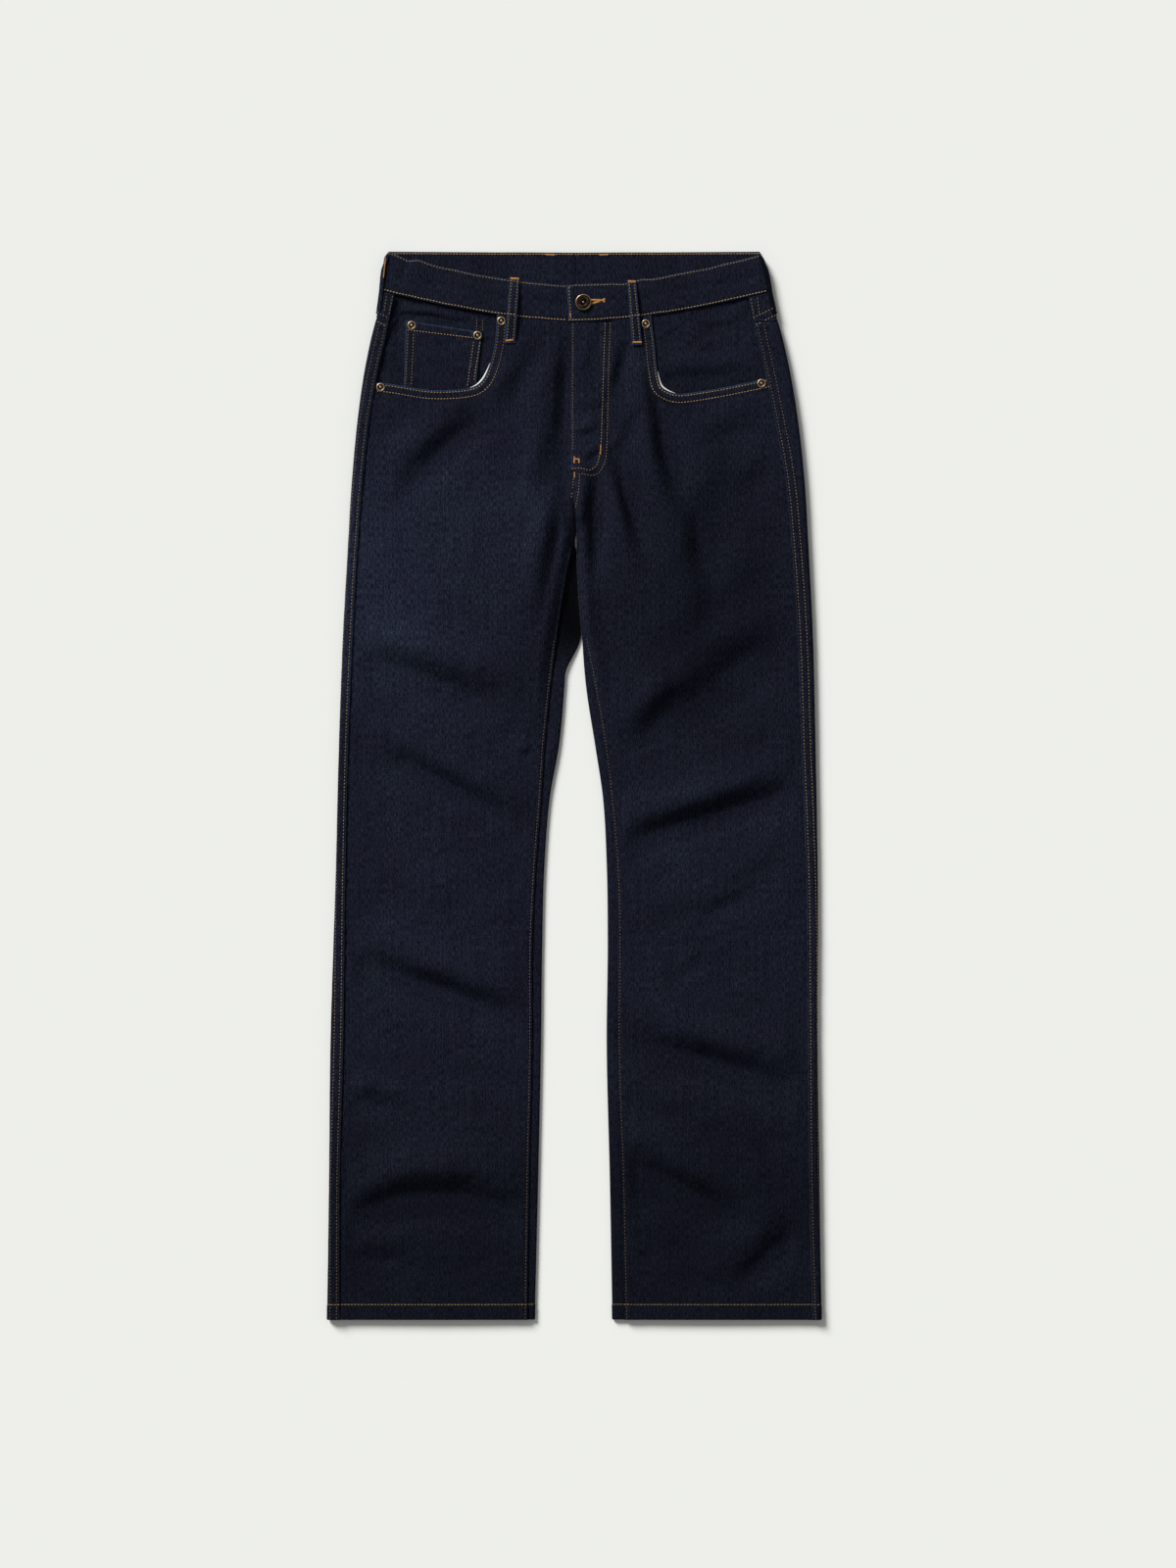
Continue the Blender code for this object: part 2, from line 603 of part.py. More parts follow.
def coin_pocket():
    """Small pocket on the right facing, its foot under the front's edge."""
    across = np.linspace(0.0, 1.0, 7)[None, :, None]
    t = np.linspace(0.0, 1.0, 6)[:, None, None]
    foot_in, foot_out, head_in, head_out = (np.array(corner) for corner in COIN_CORNERS)
    foot = foot_in + across * (foot_out - foot_in)
    head = head_in + across * (head_out - head_in)
    u, y = np.moveaxis(foot + t * (head - foot), -1, 0)
    z = front_height(RIGHT, u, y) - LAYER
    return cloth("coin_pocket", RIGHT, u, y, z)


def pocket_bag(side):
    """Edge of the pale pocket bag where it shows beside the mouth's lower corner."""
    edge = np.stack(mouth_edge(side))
    along = np.gradient(edge, axis=1)
    aside = np.stack([-along[1], along[0]]) / np.hypot(*along)
    near = edge + (SEAM_GAP + HALF_GAP) * aside
    near, aside = near[:, BAG_STEPS], aside[:, BAG_STEPS]
    far = near + np.array(BAG_WIDTHS) * aside
    grid_u, grid_y = np.stack([near, far], axis=1)
    z = front_height(side, grid_u, grid_y) - 0.2
    return cloth("pocket_bag_" + side.name, side, grid_u, grid_y, z, LAYER - 0.5, colour=POCKETING)


def back_pocket(side):
    """Five-cornered patch pocket under the seat."""
    corners = [(side.sign * u, y) for u, y in BACK_POCKET]
    return plate("back_pocket_" + side.name, corners, 0.0, DENIM)


# ---- Belt loops -----------------------------------------------------------------------------

FRONT_LOOPS = dict(
    right=dict(top=(55.6, 65.4, 517.0), foot=(60.2, 70.5, 450.0)),
    left=dict(top=(54.2, 62.6, 514.5), foot=(59.0, 69.0, 448.2)),
)
LOOP_ARCH = 1.2
SIDE_LOOP_ROWS = (481.0, 499.0, 508.0, 524.0, 540.0)
SIDE_LOOP_TURN = dict(right=(20.0, -40.0), left=(90.0, -40.0))    # from the front to the back
BACK_LOOP_X = (-24.0, 30.0)
BACK_LOOP_Y = (478.0, 543.0)
LOOP_WIDTH = 11.0


def front_loop(side):
    """Belt loop over the waistband's front, arched a little clear of it."""
    shape = FRONT_LOOPS[side.name]
    t = np.linspace(0.0, 1.0, 8)[:, None]
    head, foot = np.array(shape["top"]), np.array(shape["foot"])
    line = foot + t * (head - foot)
    u = line[:, :1] + np.array([0.0, 0.5, 1.0]) * (line[:, 1:2] - line[:, :1])
    y = np.repeat(line[:, 2:], 3, axis=1)
    under = np.maximum(front_height(side, u, y), band_height(side, u))
    z = under.max(axis=1, keepdims=True) + LAYER + LOOP_ARCH * np.sin(math.pi * t)
    return cloth("belt_loop_front_" + side.name, side, u, y, np.repeat(z, 3, axis=1))


def side_loop(side):
    """Belt loop that lies round the outer fold; the right one starts further round the back."""
    y = np.array(SIDE_LOOP_ROWS)[:, None]
    turn = np.radians(np.linspace(*SIDE_LOOP_TURN[side.name], 6))
    foot_fold, top_fold = BAND_FOLD[side.name]
    band_foot, band_top = BAND_BACK_FOOT["side"], BAND_BACK_TOP["side"]
    on_band = foot_fold + (y - band_foot) / (band_top - band_foot) * (top_fold - foot_fold)
    fold = np.where(y > band_foot, on_band, side.outer_fold(y))
    under = 0.5 * (STACK["edge"][-1] + LAYER)
    radius = under + LAYER
    u = fold - under + radius * np.cos(turn)
    z = under + radius * np.sin(turn) + 0.0 * y
    return cloth("belt_loop_side_" + side.name, side, u, y + 0.0 * u, z)


def back_loop(name, x):
    """Belt loop under the centre back."""
    low, high = BACK_LOOP_Y
    near, far = x - 0.5 * LOOP_WIDTH, x + 0.5 * LOOP_WIDTH
    return plate(name, ((near, low), (far, low), (far, high), (near, high)), 0.0, DENIM)


# ---- Metal ----------------------------------------------------------------------------------

RIVET = ((0.0, 0.0), (4.0, 0.0), (4.4, 0.4), (3.9, 0.9), (2.9, 0.8), (2.0, 1.2), (0.0, 1.4))
BUTTON = ((0.0, 0.0), (3.2, 0.0), (3.2, 1.2), (7.4, 1.2), (8.1, 1.8), (7.7, 2.6), (6.6, 3.0),
          (5.6, 2.6), (4.4, 2.7), (3.2, 2.3), (0.0, 2.2))
RIVETS = dict(
    rivet_coin_outer=(RIGHT, 165.6, 468.7, LAYER),
    rivet_coin_inner=(RIGHT, 98.4, 458.4, LAYER),
    rivet_inner_right=(RIGHT, 74.2, 473.0, 0.0),
    rivet_outer_right=(RIGHT, 197.2, 405.5, 0.0),
    rivet_inner_left=(LEFT, 72.9, 470.1, 0.0),
    rivet_outer_left=(LEFT, 190.8, 409.5, 0.0),
)
BUTTON_PLACE = (9.3, 491.8)


def rivet(name, side, u, y, drop):
    """Rivet on the front, or on the coin pocket, which lies lower."""
    around = np.linspace(0.0, math.tau, 9)
    under = front_height(side, u + 4.4 * np.cos(around), y + 4.4 * np.sin(around)).max() - drop
    return turned(name, RIVET, side.sign * u, y, under + SEAM_GAP, steps=16)


def button():
    """Shank button on the waistband's left half."""
    x, y = BUTTON_PLACE
    return turned("button", BUTTON, x, y, band_height(LEFT, x) + SEAM_GAP, steps=24)


def clear_scene():
    for obj in list(bpy.data.objects):
        bpy.data.objects.remove(obj, do_unlink=True)


def main():
    clear_scene()
    for side in (RIGHT, LEFT):
        front(side)
        back(side)
        yoke(side)
        band_half(side)
        pocket_facing(side)
        pocket_bag(side)
        back_pocket(side)
        front_loop(side)
        side_loop(side)
    for name, x in zip(("belt_loop_back_right", "belt_loop_back_left"), BACK_LOOP_X):
        back_loop(name, x)
    coin_pocket()
    for name, (side, u, y, drop) in RIVETS.items():
        rivet(name, side, u, y, drop)
    button()


main()
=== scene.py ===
"""Bootcut jeans in dark denim, laid flat on their back with the front up.

+Z is up, +Y runs from the hems to the waist and +X points to the wearer's left. Sizes are in
millimetres, and u is the distance outward from the middle line, so x = sign * u on each side.
The sections follow the order in which the pieces are cut and sewn.
"""
import math

import bpy
import numpy as np
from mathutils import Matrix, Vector
from mathutils.bvhtree import BVHTree


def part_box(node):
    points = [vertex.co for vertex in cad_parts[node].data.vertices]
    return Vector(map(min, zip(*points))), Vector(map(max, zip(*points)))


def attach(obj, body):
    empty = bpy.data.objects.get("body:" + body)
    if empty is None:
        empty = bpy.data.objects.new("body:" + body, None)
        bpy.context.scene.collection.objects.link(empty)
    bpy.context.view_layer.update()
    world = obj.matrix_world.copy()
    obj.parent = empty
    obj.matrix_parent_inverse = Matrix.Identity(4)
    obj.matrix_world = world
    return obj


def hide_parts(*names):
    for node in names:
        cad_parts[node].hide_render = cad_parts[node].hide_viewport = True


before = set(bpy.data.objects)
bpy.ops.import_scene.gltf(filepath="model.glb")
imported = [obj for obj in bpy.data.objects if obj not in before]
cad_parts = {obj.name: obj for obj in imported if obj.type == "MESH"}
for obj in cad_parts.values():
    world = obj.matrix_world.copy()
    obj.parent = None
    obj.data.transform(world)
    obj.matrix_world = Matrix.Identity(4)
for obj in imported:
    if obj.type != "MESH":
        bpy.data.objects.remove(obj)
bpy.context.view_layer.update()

# ---- Front panels ----------------------------------------------------------------------------
# The two front panels are 14 oz indigo denim, a right-hand twill whose warp runs down the leg.
# Their edges are turned under and topstitched: at the hem, the fly and the pocket's mouth. The
# back panels lap over them at the outseams, and under them at the inseams.

MM = 0.001
DENIM = 1.1
LAYER = 1.5             # from one layer's face to the next: the denim and a little air
SEAM_GAP = 0.3
HALF_GAP = 0.5 * SEAM_GAP
TUCK = 5.0
FLY_LAP = 9.0
RECESS = 1.4            # the seat stands this high, over its pockets and loops
HEM_Y = -544.5
HEM_DEPTH = 15.6
CROTCH_Y = 256.0
CENTRE_BACK_X = 2.0
SEAT_Y = 285.0
FAN_Y = 202.0           # from here up the front's columns fan out to the pocket's mouth
TOP_PATCH_Y = 372.0     # from here up the front's rows bend to its top edge
LAP_Y = 300.0           # the fly's lap is complete from here up
FAR = 99.0              # added to a distance where its edge does not count


def table(names, *rows):
    """Named columns from rows that start at the lowest y."""
    return dict(zip(names.split(), np.array(rows, dtype=float).T))


# Outer fold of each leg, and its outseam on the front, as distances from the middle line.
OUTER = table(
    "y        right_seam right_fold left_seam left_fold",
    (-544.5,  239.2,     252.0,     242.7,    252.0),
    (-400.0,  238.6,     250.0,     239.1,    250.0),
    (-260.0,  235.0,     248.5,     237.9,    248.0),
    (-100.0,  233.0,     243.5,     236.4,    248.3),
    (40.0,    230.0,     240.0,     231.3,    246.0),
    (160.0,   225.0,     235.5,     227.0,    243.0),
    (240.0,   220.6,     231.0,     221.6,    239.0),
    (320.0,   214.3,     226.0,     213.7,    234.0),
    (380.0,   207.5,     220.0,     202.5,    227.0),
    (420.0,   200.3,     214.3,     194.5,    220.3),
    (460.0,   191.3,     206.0,     185.5,    211.3),
    (480.0,   187.3,     200.9,     181.5,    205.6),
    (505.0,   182.0,     197.2,     176.0,    200.0),
)

# Inner fold of each leg, and its inseam on the front.
INNER = table(
    "y        right_seam right_fold left_seam left_fold",
    (-544.5,  47.6,      40.2,      50.9,     38.6),
    (-400.0,  45.7,      36.6,      47.8,     36.0),
    (-260.0,  42.8,      33.7,      43.3,     32.8),
    (-160.0,  42.6,      32.5,      44.0,     33.9),
    (-80.0,   38.7,      30.2,      42.0,     32.8),
    (-10.0,   33.2,      24.4,      36.0,     28.7),
    (40.0,    30.0,      15.5,      29.9,     21.2),
    (100.0,   24.0,      10.0,      20.0,     11.9),
    (160.0,   16.5,      7.0,       8.8,      7.0),
    (200.0,   10.5,      6.0,       5.5,      3.8),
    (240.0,   2.5,       1.0,       3.5,      2.3),
    (256.0,   -2.0,      -2.0,      2.0,      2.0),
)

# Edge of the left front, which laps over the right one above the crotch.
FLY_EDGE = table("y x", (256.0, 2.0), (270.0, 1.0), (290.0, -1.0), (310.0, -3.3), (330.0, -3.0),
                 (400.0, -3.5), (480.0, -2.5))

# Height of the front at its seams, and how much higher the middle of the panel swells.
STACK = table("y edge crown", (-544.5, 5.4, 0.8), (-300.0, 5.4, 1.2), (100.0, 5.6, 1.4),
              (256.0, 6.2, 1.4), (400.0, 7.0, 1.0), (545.0, 7.0, 0.6))

# Creases of the front: the middle of each, its heading in degrees, how far it reaches either way,
# how far its ends bend aside, and the distance and height of the ridge on the heading's left.
FOLDS = table(
    "x       y       heading reach  bend   width height",
    (-200.0, -474.0, -8.0,   40.0,  0.0,   10.0, 1.2),
    (-141.0, -400.0, 3.0,    95.0,  -28.0, 17.0, 3.6),
    (-205.0, -313.0, -10.0,  32.0,  0.0,   9.0,  1.3),
    (-131.0, -200.5, -20.5,  88.0,  0.0,   12.0, 3.0),
    (-121.0, 4.5,    -28.0,  80.0,  0.0,   9.0,  2.0),
    (-136.0, 116.5,  -19.0,  90.0,  0.0,   15.0, 3.0),
    (190.0,  -483.5, 46.0,   50.0,  0.0,   11.0, 2.0),
    (122.0,  -408.5, -34.0,  72.0,  0.0,   12.0, 2.4),
    (144.0,  -272.5, -17.0,  92.0,  0.0,   14.0, 2.6),
    (134.0,  -23.5,  18.0,   105.0, 0.0,   12.0, 3.6),
    (82.0,   79.5,   53.0,   48.0,  0.0,   12.0, 2.5),
    (159.0,  141.5,  20.0,   65.0,  0.0,   22.0, 3.2),
    (48.0,   293.5,  107.0,  55.0,  0.0,   9.0,  1.8),
    (104.0,  301.5,  110.0,  100.0, 0.0,   11.0, 2.8),
    (-24.0,  261.5,  80.0,   60.0,  0.0,   12.0, 1.5),
    (-146.0, 339.5,  48.0,   75.0,  0.0,   13.0, 2.2),
    (-26.0,  411.5,  73.0,   50.0,  0.0,   9.0,  1.5),
    (46.0,   416.5,  100.0,  40.0,  0.0,   8.0,  1.3),
)

# What the solids leave out: the broad slopes of the larger creases, and small creases.
SOFT_FOLDS = table(
    "x       y       heading reach  bend   width height",
    (-166.0, 123.0,  -20.0,  112.0, 10.0,  19.0, 3.6),
    (-125.0, 8.0,    -29.0,  112.0, 0.0,   15.0, 3.4),
    (-142.0, -198.0, -20.0,  128.0, 6.0,   17.0, 4.2),
    (-205.0, -318.0, -14.0,  44.0,  0.0,   11.0, 1.8),
    (-146.0, -412.0, 1.0,    128.0, -30.0, 18.0, 5.0),
    (-200.0, -474.0, -18.0,  52.0,  0.0,   14.0, 1.8),
    (130.0,  104.0,  34.0,   118.0, 0.0,   24.0, 5.0),
    (136.0,  178.0,  38.0,   92.0,  0.0,   22.0, 3.0),
    (133.0,  -22.0,  17.0,   134.0, 0.0,   17.0, 4.0),
    (146.0,  -276.0, -17.0,  128.0, 8.0,   18.0, 4.2),
    (76.0,   -322.0, -24.0,  46.0,  0.0,   13.0, 1.8),
    (104.0,  -398.0, -24.0,  98.0,  6.0,   20.0, 5.0),
    (188.0,  -468.0, 44.0,   66.0,  0.0,   16.0, 2.8),
    (-175.0, 30.0,   14.0,   40.0,  0.0,   14.0, 0.9),
    (178.0,  -90.0,  32.0,   55.0,  0.0,   12.0, 1.0),
    (95.0,   -130.0, 28.0,   60.0,  0.0,   14.0, 0.9),
    (160.0,  -180.0, -24.0,  60.0,  0.0,   13.0, 0.9),
    (-95.0,  -290.0, -16.0,  50.0,  0.0,   12.0, 0.9),
    (-165.0, -110.0, -18.0,  55.0,  0.0,   15.0, 0.9),
    (100.0,  215.0,  62.0,   60.0,  0.0,   16.0, 1.3),
    (-95.0,  210.0,  118.0,  60.0,  0.0,   16.0, 1.2),
    (-138.0, 354.0,  42.0,   72.0,  0.0,   16.0, 3.0),
    (-26.0,  345.0,  82.0,   85.0,  0.0,   13.0, 3.4),
    (-15.0,  405.0,  86.0,   55.0,  0.0,   7.0,  2.2),
    (-62.0,  415.0,  64.0,   50.0,  0.0,   11.0, 1.8),
    (-24.0,  244.0,  79.0,   84.0,  0.0,   11.0, 4.0),
    (85.0,   352.0,  99.0,   112.0, -6.0,  11.0, 6.0),
    (122.0,  228.0,  98.0,   82.0,  0.0,   15.0, 4.4),
    (52.0,   282.0,  107.0,  66.0,  0.0,   8.0,  4.2),
    (13.0,   268.0,  84.0,   72.0,  0.0,   10.0, 6.6),
    (43.0,   425.0,  78.0,   42.0,  0.0,   6.0,  1.8),
    (56.0,   368.0,  64.0,   34.0,  0.0,   6.0,  1.2),
    (140.0,  300.0,  70.0,   72.0,  0.0,   20.0, 3.2),
    (160.0,  368.0,  22.0,   48.0,  0.0,   12.0, 1.6),
    (184.0,  322.0,  58.0,   48.0,  0.0,   13.0, 1.8),
    (-190.0, 372.0,  30.0,   30.0,  0.0,   9.0,  0.9),
)
FINE_FOLDS = table(
    "x       y       heading reach  bend   width height",
    (-50.0,  35.5,   27.0,   14.0,  0.0,   5.0,  1.2),
    (14.0,   386.0,  -12.0,  14.0,  0.0,   4.0,  1.3),
    (13.0,   361.0,  14.0,   14.0,  0.0,   4.5,  1.2),
    (18.0,   337.0,  35.0,   14.0,  0.0,   4.0,  1.1),
    (17.0,   446.0,  78.0,   34.0,  0.0,   5.0,  0.9),
    (56.0,   -372.0, 20.0,   22.0,  0.0,   6.0,  0.8),
    (-186.0, -500.0, -24.0,  26.0,  0.0,   6.0,  0.9),
    (112.0,  -186.0, 34.0,   34.0,  0.0,   7.0,  0.9),
    (152.0,  -118.0, 22.0,   36.0,  0.0,   8.0,  1.0),
    (90.0,   -88.0,  40.0,   28.0,  0.0,   7.0,  0.8),
    (176.0,  -214.0, -30.0,  30.0,  0.0,   7.0,  0.8),
    (92.0,   -236.0, -26.0,  34.0,  0.0,   7.0,  0.9),
    (206.0,  -352.0, -38.0,  26.0,  0.0,   7.0,  0.9),
    (142.0,  -504.0, -22.0,  30.0,  0.0,   8.0,  0.9),
    (66.0,   -455.0, -12.0,  15.0,  0.0,   4.0,  0.7),
    (64.0,   -475.0, -8.0,   13.0,  0.0,   4.0,  0.6),
    (68.0,   -497.0, -14.0,  15.0,  0.0,   4.0,  0.7),
    (204.0,  288.0,  -35.0,  22.0,  0.0,   6.0,  1.0),
    (200.0,  262.0,  3.0,    20.0,  0.0,   3.0,  0.5),
    (-206.0, 262.0,  -3.0,   18.0,  0.0,   3.0,  0.5),
)
CROTCH_DIP = dict(x=2.0, y=268.0, depth=2.2, radius=15.0)

# Mouth of each front pocket, from the waistband down and out to the outseam.
MOUTH = dict(
    right=table("u y", (78.5, 479.6), (80.5, 452), (86, 428), (94.5, 411), (110, 404),
                (146, 402.5), (185, 408.5), (206.9, 410.9)),
    left=table("u y", (78, 478.6), (81.9, 448.5), (83.4, 431.5), (86.5, 411.5), (91, 403.8),
               (104, 398.9), (121, 400), (153, 405.4), (190, 413), (201, 415.3)),
)
MOUTH_ROWS = (2.0, 8.6)         # stitched rows, from the folded edge

# Waistband's front, which dips in the middle; the fronts end at its foot.
BAND_MIDDLE_X = 3.0
BAND_FRONT_FOOT = dict(middle=472.3, rise=31.0, reach=197.0, power=1.6)
BAND_FRONT_TOP = dict(middle=510.0, rise=32.0, reach=190.0, power=1.7)

# Double row of stitches that holds the fly's facing, down and round to the fly's edge.
FLY_INNER_ROW = ((31.4, 471.5), (29.9, 423.5), (27.9, 361.5), (26.5, 341.5), (23.5, 327.5),
                 (16.0, 321.1), (6.0, 323.0), (-2.0, 322.5))
FLY_OUTER_ROW = ((36.8, 471.5), (35.2, 423.5), (33.8, 361.5), (33.2, 346.5), (32.0, 332.5),
                 (27.5, 321.5), (21.7, 316.5), (14.8, 315.9), (5.7, 317.8))
FLY_EDGE_ROW = 2.4
INSEAM_ROW = 2.5

FRONT_SPACES = 15       # main columns across a front, the last of them tucked under the back
FOOT_SPACES = 4         # of these, the ones that end at the waistband's foot
UPRIGHT_COLUMN = 8      # the last column that ends on the upright side of the pocket's mouth
CORNER_SHARE = 0.92     # how far out it starts, as a share of where it ends
EDGE_SPACE = 6.0        # from the inner edge to the second main column
EDGE_STEPS = np.array([0.0, 0.1, 0.25, 0.5, 0.9, 1.4])
FRONT_PLACES = np.concatenate([np.append(EDGE_STEPS, (2.0, 2.5, 3.0, 4.4)) / EDGE_SPACE,
                               np.arange(1.0, 4.5, 0.125), np.arange(4.5, 14.0, 0.2),
                               (14.0, 14.4, 15.0)])
HEM_STEPS = np.append(EDGE_STEPS, (2.4, 4.0, 6.0, 8.5, 11.0, 13.0, 14.4, 15.2, 16.0, 16.8,
                                   17.8, 19.5, 21.5))
FRONT_ROWS = np.concatenate([HEM_Y + HEM_STEPS, np.arange(HEM_Y + 24.5, 300.0, 3.0),
                             np.arange(301.0, TOP_PATCH_Y, 2.0), (TOP_PATCH_Y,)])
PATCH_STEPS = 22
TOP_STEPS = np.array([13.0, 11.5, 10.2, 9.3, 8.6, 7.9, 6.8, 5.2, 3.8, 2.8, 2.0, 1.4, 0.9, 0.5,
                      0.25, 0.1, 0.0])


def ramp(t):
    """0 below 0, 1 above 1, and a smooth step between."""
    t = np.clip(t, 0.0, 1.0)
    return t * t * (3.0 - 2.0 * t)


def smooth(columns, name, y):
    """Cubic through the named column, each tangent taken from the point's two neighbours."""
    at, value = columns["y"], columns[name]
    slope = np.gradient(value, at)
    y = np.clip(y, at[0], at[-1])
    i = np.clip(np.searchsorted(at, y, side="right") - 1, 0, len(at) - 2)
    span = at[i + 1] - at[i]
    t = (y - at[i]) / span
    start = (1 + 2 * t) * (1 - t) ** 2 * value[i] + t * (1 - t) ** 2 * span * slope[i]
    end = t ** 2 * (3 - 2 * t) * value[i + 1] + t ** 2 * (t - 1) * span * slope[i + 1]
    return start + end


def along_curve(points, t):
    """Smooth curve through a table of u and y; t goes from 0 at its first row to 1 at its last."""
    u, y = points["u"], points["y"]
    knots = dict(y=np.arange(len(u), dtype=float), u=u, v=y)
    place = np.asarray(t) * (len(u) - 1)
    return smooth(knots, "u", place), smooth(knots, "v", place)


def line_distance(x, y, line):
    """Distance from each point to a drawn line: to the nearest of its straight stretches."""
    nearest = np.full(np.shape(x), np.inf)
    for (ax, ay), (bx, by) in zip(line, line[1:]):
        dx, dy = bx - ax, by - ay
        t = np.clip(((x - ax) * dx + (y - ay) * dy) / (dx * dx + dy * dy + 1e-9), 0.0, 1.0)
        nearest = np.minimum(nearest, np.hypot(x - ax - t * dx, y - ay - t * dy))
    return nearest


def soft_noise(x, y, seed):
    """Smooth random heights from -1 to 1: seeded values on a square lattice one unit apart,
    blended with smooth steps."""
    value = np.random.default_rng(seed).uniform(-1.0, 1.0, (128, 128))
    x, y = np.broadcast_arrays(x, y)
    i, j = np.floor(x).astype(int), np.floor(y).astype(int)
    s, t = ramp(x - i), ramp(y - j)
    i, j = i % 127, j % 127
    low = value[i, j] * (1 - s) + value[i + 1, j] * s
    high = value[i, j + 1] * (1 - s) + value[i + 1, j + 1] * s
    return low * (1 - t) + high * t


class Side:
    """One side of the garment."""

    def __init__(self, name, sign):
        self.name = name
        self.sign = sign

    def outseam(self, y):
        return smooth(OUTER, self.name + "_seam", y)

    def outer_fold(self, y):
        return smooth(OUTER, self.name + "_fold", y)

    def inseam(self, y):
        """The inseam, and above the crotch the fly's edge."""
        fly = self.sign * smooth(FLY_EDGE, "x", y)
        return np.where(y < CROTCH_Y, smooth(INNER, self.name + "_seam", y), fly)

    def inner_fold(self, y):
        """The inner fold, and above the crotch the centre back seam."""
        centre = self.sign * CENTRE_BACK_X
        fold = np.where(y < CROTCH_Y, smooth(INNER, self.name + "_fold", y), centre)
        return fold + HALF_GAP


RIGHT = Side("right", -1.0)
LEFT = Side("left", 1.0)
SIDES = (RIGHT, LEFT)


def crease_height(folds, x, y):
    """Sum of the creases. Each is a ridge beside a trough: h * a * exp((1 - a * a) / 2), with a
    the distance to its left in widths, tapering to nothing at its two ends."""
    total = np.zeros(np.shape(x))
    for fx, fy, heading, reach, bend, width, height in zip(*folds.values()):
        cos, sin = math.cos(math.radians(heading)), math.sin(math.radians(heading))
        along = ((x - fx) * cos + (y - fy) * sin) / reach
        aside = ((y - fy) * cos - (x - fx) * sin - bend * along ** 2) / width
        taper = np.clip(1.0 - along ** 2, 0.0, 1.0) ** 1.5
        total += height * aside * np.exp(0.5 - 0.5 * aside ** 2) * taper
    return total


def crease_room(side, u, y):
    """1 within a front, 0 at its seams, its hem and beside its pocket's mouth."""
    outer = ramp((side.outseam(y) - u - 5.0) / 20.0)
    inner = np.maximum(ramp((u - side.inseam(y) - 5.0) / 20.0), ramp((y - CROTCH_Y) / 25.0))
    hem = ramp((y - HEM_Y - 15.0) / 30.0)
    mouth = 1.0 - ramp((y - 350.0) / 35.0) * ramp((u - 60.0) / 15.0)
    return outer * inner * hem * mouth


def front_height(side, u, y):
    """Height of the front's outer face: level at the seams and crowned between them, across
    each leg below the crotch and across the whole width above it, with creases on top."""
    u, y = np.broadcast_arrays(np.asarray(u, dtype=float), np.asarray(y, dtype=float))
    x = side.sign * u
    inner, outer = side.inseam(y), side.outseam(y)
    right, left = RIGHT.outseam(y), LEFT.outseam(y)
    across_leg = np.clip((u - inner) / (outer - inner), 0.0, 1.0)
    across_hips = np.clip((x + right) / (right + left), 0.0, 1.0)
    hips = ramp((y - CROTCH_Y) / 60.0)
    crown = (1.0 - hips) * np.sin(math.pi * across_leg) ** 0.8
    crown = crown + hips * np.sin(math.pi * across_hips) ** 0.8
    z = smooth(STACK, "edge", y) + smooth(STACK, "crown", y) * crown
    z = z + crease_height(FOLDS, x, y) * crease_room(side, u, y)
    away = np.hypot(x - CROTCH_DIP["x"], y - CROTCH_DIP["y"]) / CROTCH_DIP["radius"]
    return z - CROTCH_DIP["depth"] * np.exp(-away ** 2)


def cloth_swell(x, y):
    """Slow uneven swelling of cloth that lies loose: soft noise at three scales, the two larger
    ones drawn out along a slant, and stronger below the thighs."""
    slant = x * 0.9 + y * 0.45
    rise = y * 0.9 - x * 0.45
    swell = 0.45 * soft_noise(slant / 38.0, rise / 26.0, 1)
    swell = swell + 0.27 * soft_noise(slant / 17.0, rise / 9.0, 2)
    swell = swell * (1.0 + 0.7 * ramp((100.0 - y) / 200.0))
    return swell + 0.14 * soft_noise(x / 5.5, y / 7.0, 3)


def pucker(along, distance, seed, height=0.22, reach=6.0):
    """Ripples that a tight seam draws into the cloth: soft noise along the seam, 7 mm and 3 mm
    long, fading as exp(-distance / reach)."""
    wave = soft_noise(along / 7.0, distance / 16.0, seed)
    wave = wave + 0.6 * soft_noise(along / 3.2, distance / 9.0, seed + 1)
    return height * wave * np.exp(-distance / reach)


def groove(distance, depth=0.3, width=0.8):
    """Channel that a row of stitches pulls into the cloth: -depth * exp(-(distance / width)^2)."""
    return -depth * np.exp(-(distance / width) ** 2)


def band_curve(shape, x):
    """Edge of the waistband's front: middle + rise * (distance / reach) ** power."""
    away = np.abs(x - BAND_MIDDLE_X) / shape["reach"]
    return shape["middle"] + shape["rise"] * away ** shape["power"]


def main_columns(side, y):
    """u of each main column at the heights y: the inner edge, even spaces that fan out towards
    the pocket's mouth, the outseam, and the tuck."""
    mouth_u, _ = along_curve(MOUTH[side.name], np.linspace(0.0, 1.0, FRONT_SPACES - FOOT_SPACES + 1))
    low, high = side.inseam(TOP_PATCH_Y) + EDGE_SPACE, side.outseam(TOP_PATCH_Y)
    corner = UPRIGHT_COLUMN - FOOT_SPACES
    to_corner = np.linspace(low, CORNER_SHARE * mouth_u[corner], UPRIGHT_COLUMN)
    fanned = (np.concatenate([to_corner, mouth_u[corner + 1:-2], [high]]) - low) / (high - low)
    even = np.linspace(0.0, 1.0, FRONT_SPACES - 1)
    fan = ramp((y - FAN_Y) / (TOP_PATCH_Y - FAN_Y))[:, None]
    inner, outer = side.inseam(y), side.outseam(y)
    share = even + fan * (fanned - even)
    middle = inner[:, None] + EDGE_SPACE + (outer - inner - EDGE_SPACE)[:, None] * share
    lap = FLY_LAP * ramp((y - LAP_Y) / 40.0) if side is RIGHT else 0.0
    return np.column_stack([inner + HALF_GAP - lap, middle, outer + TUCK])


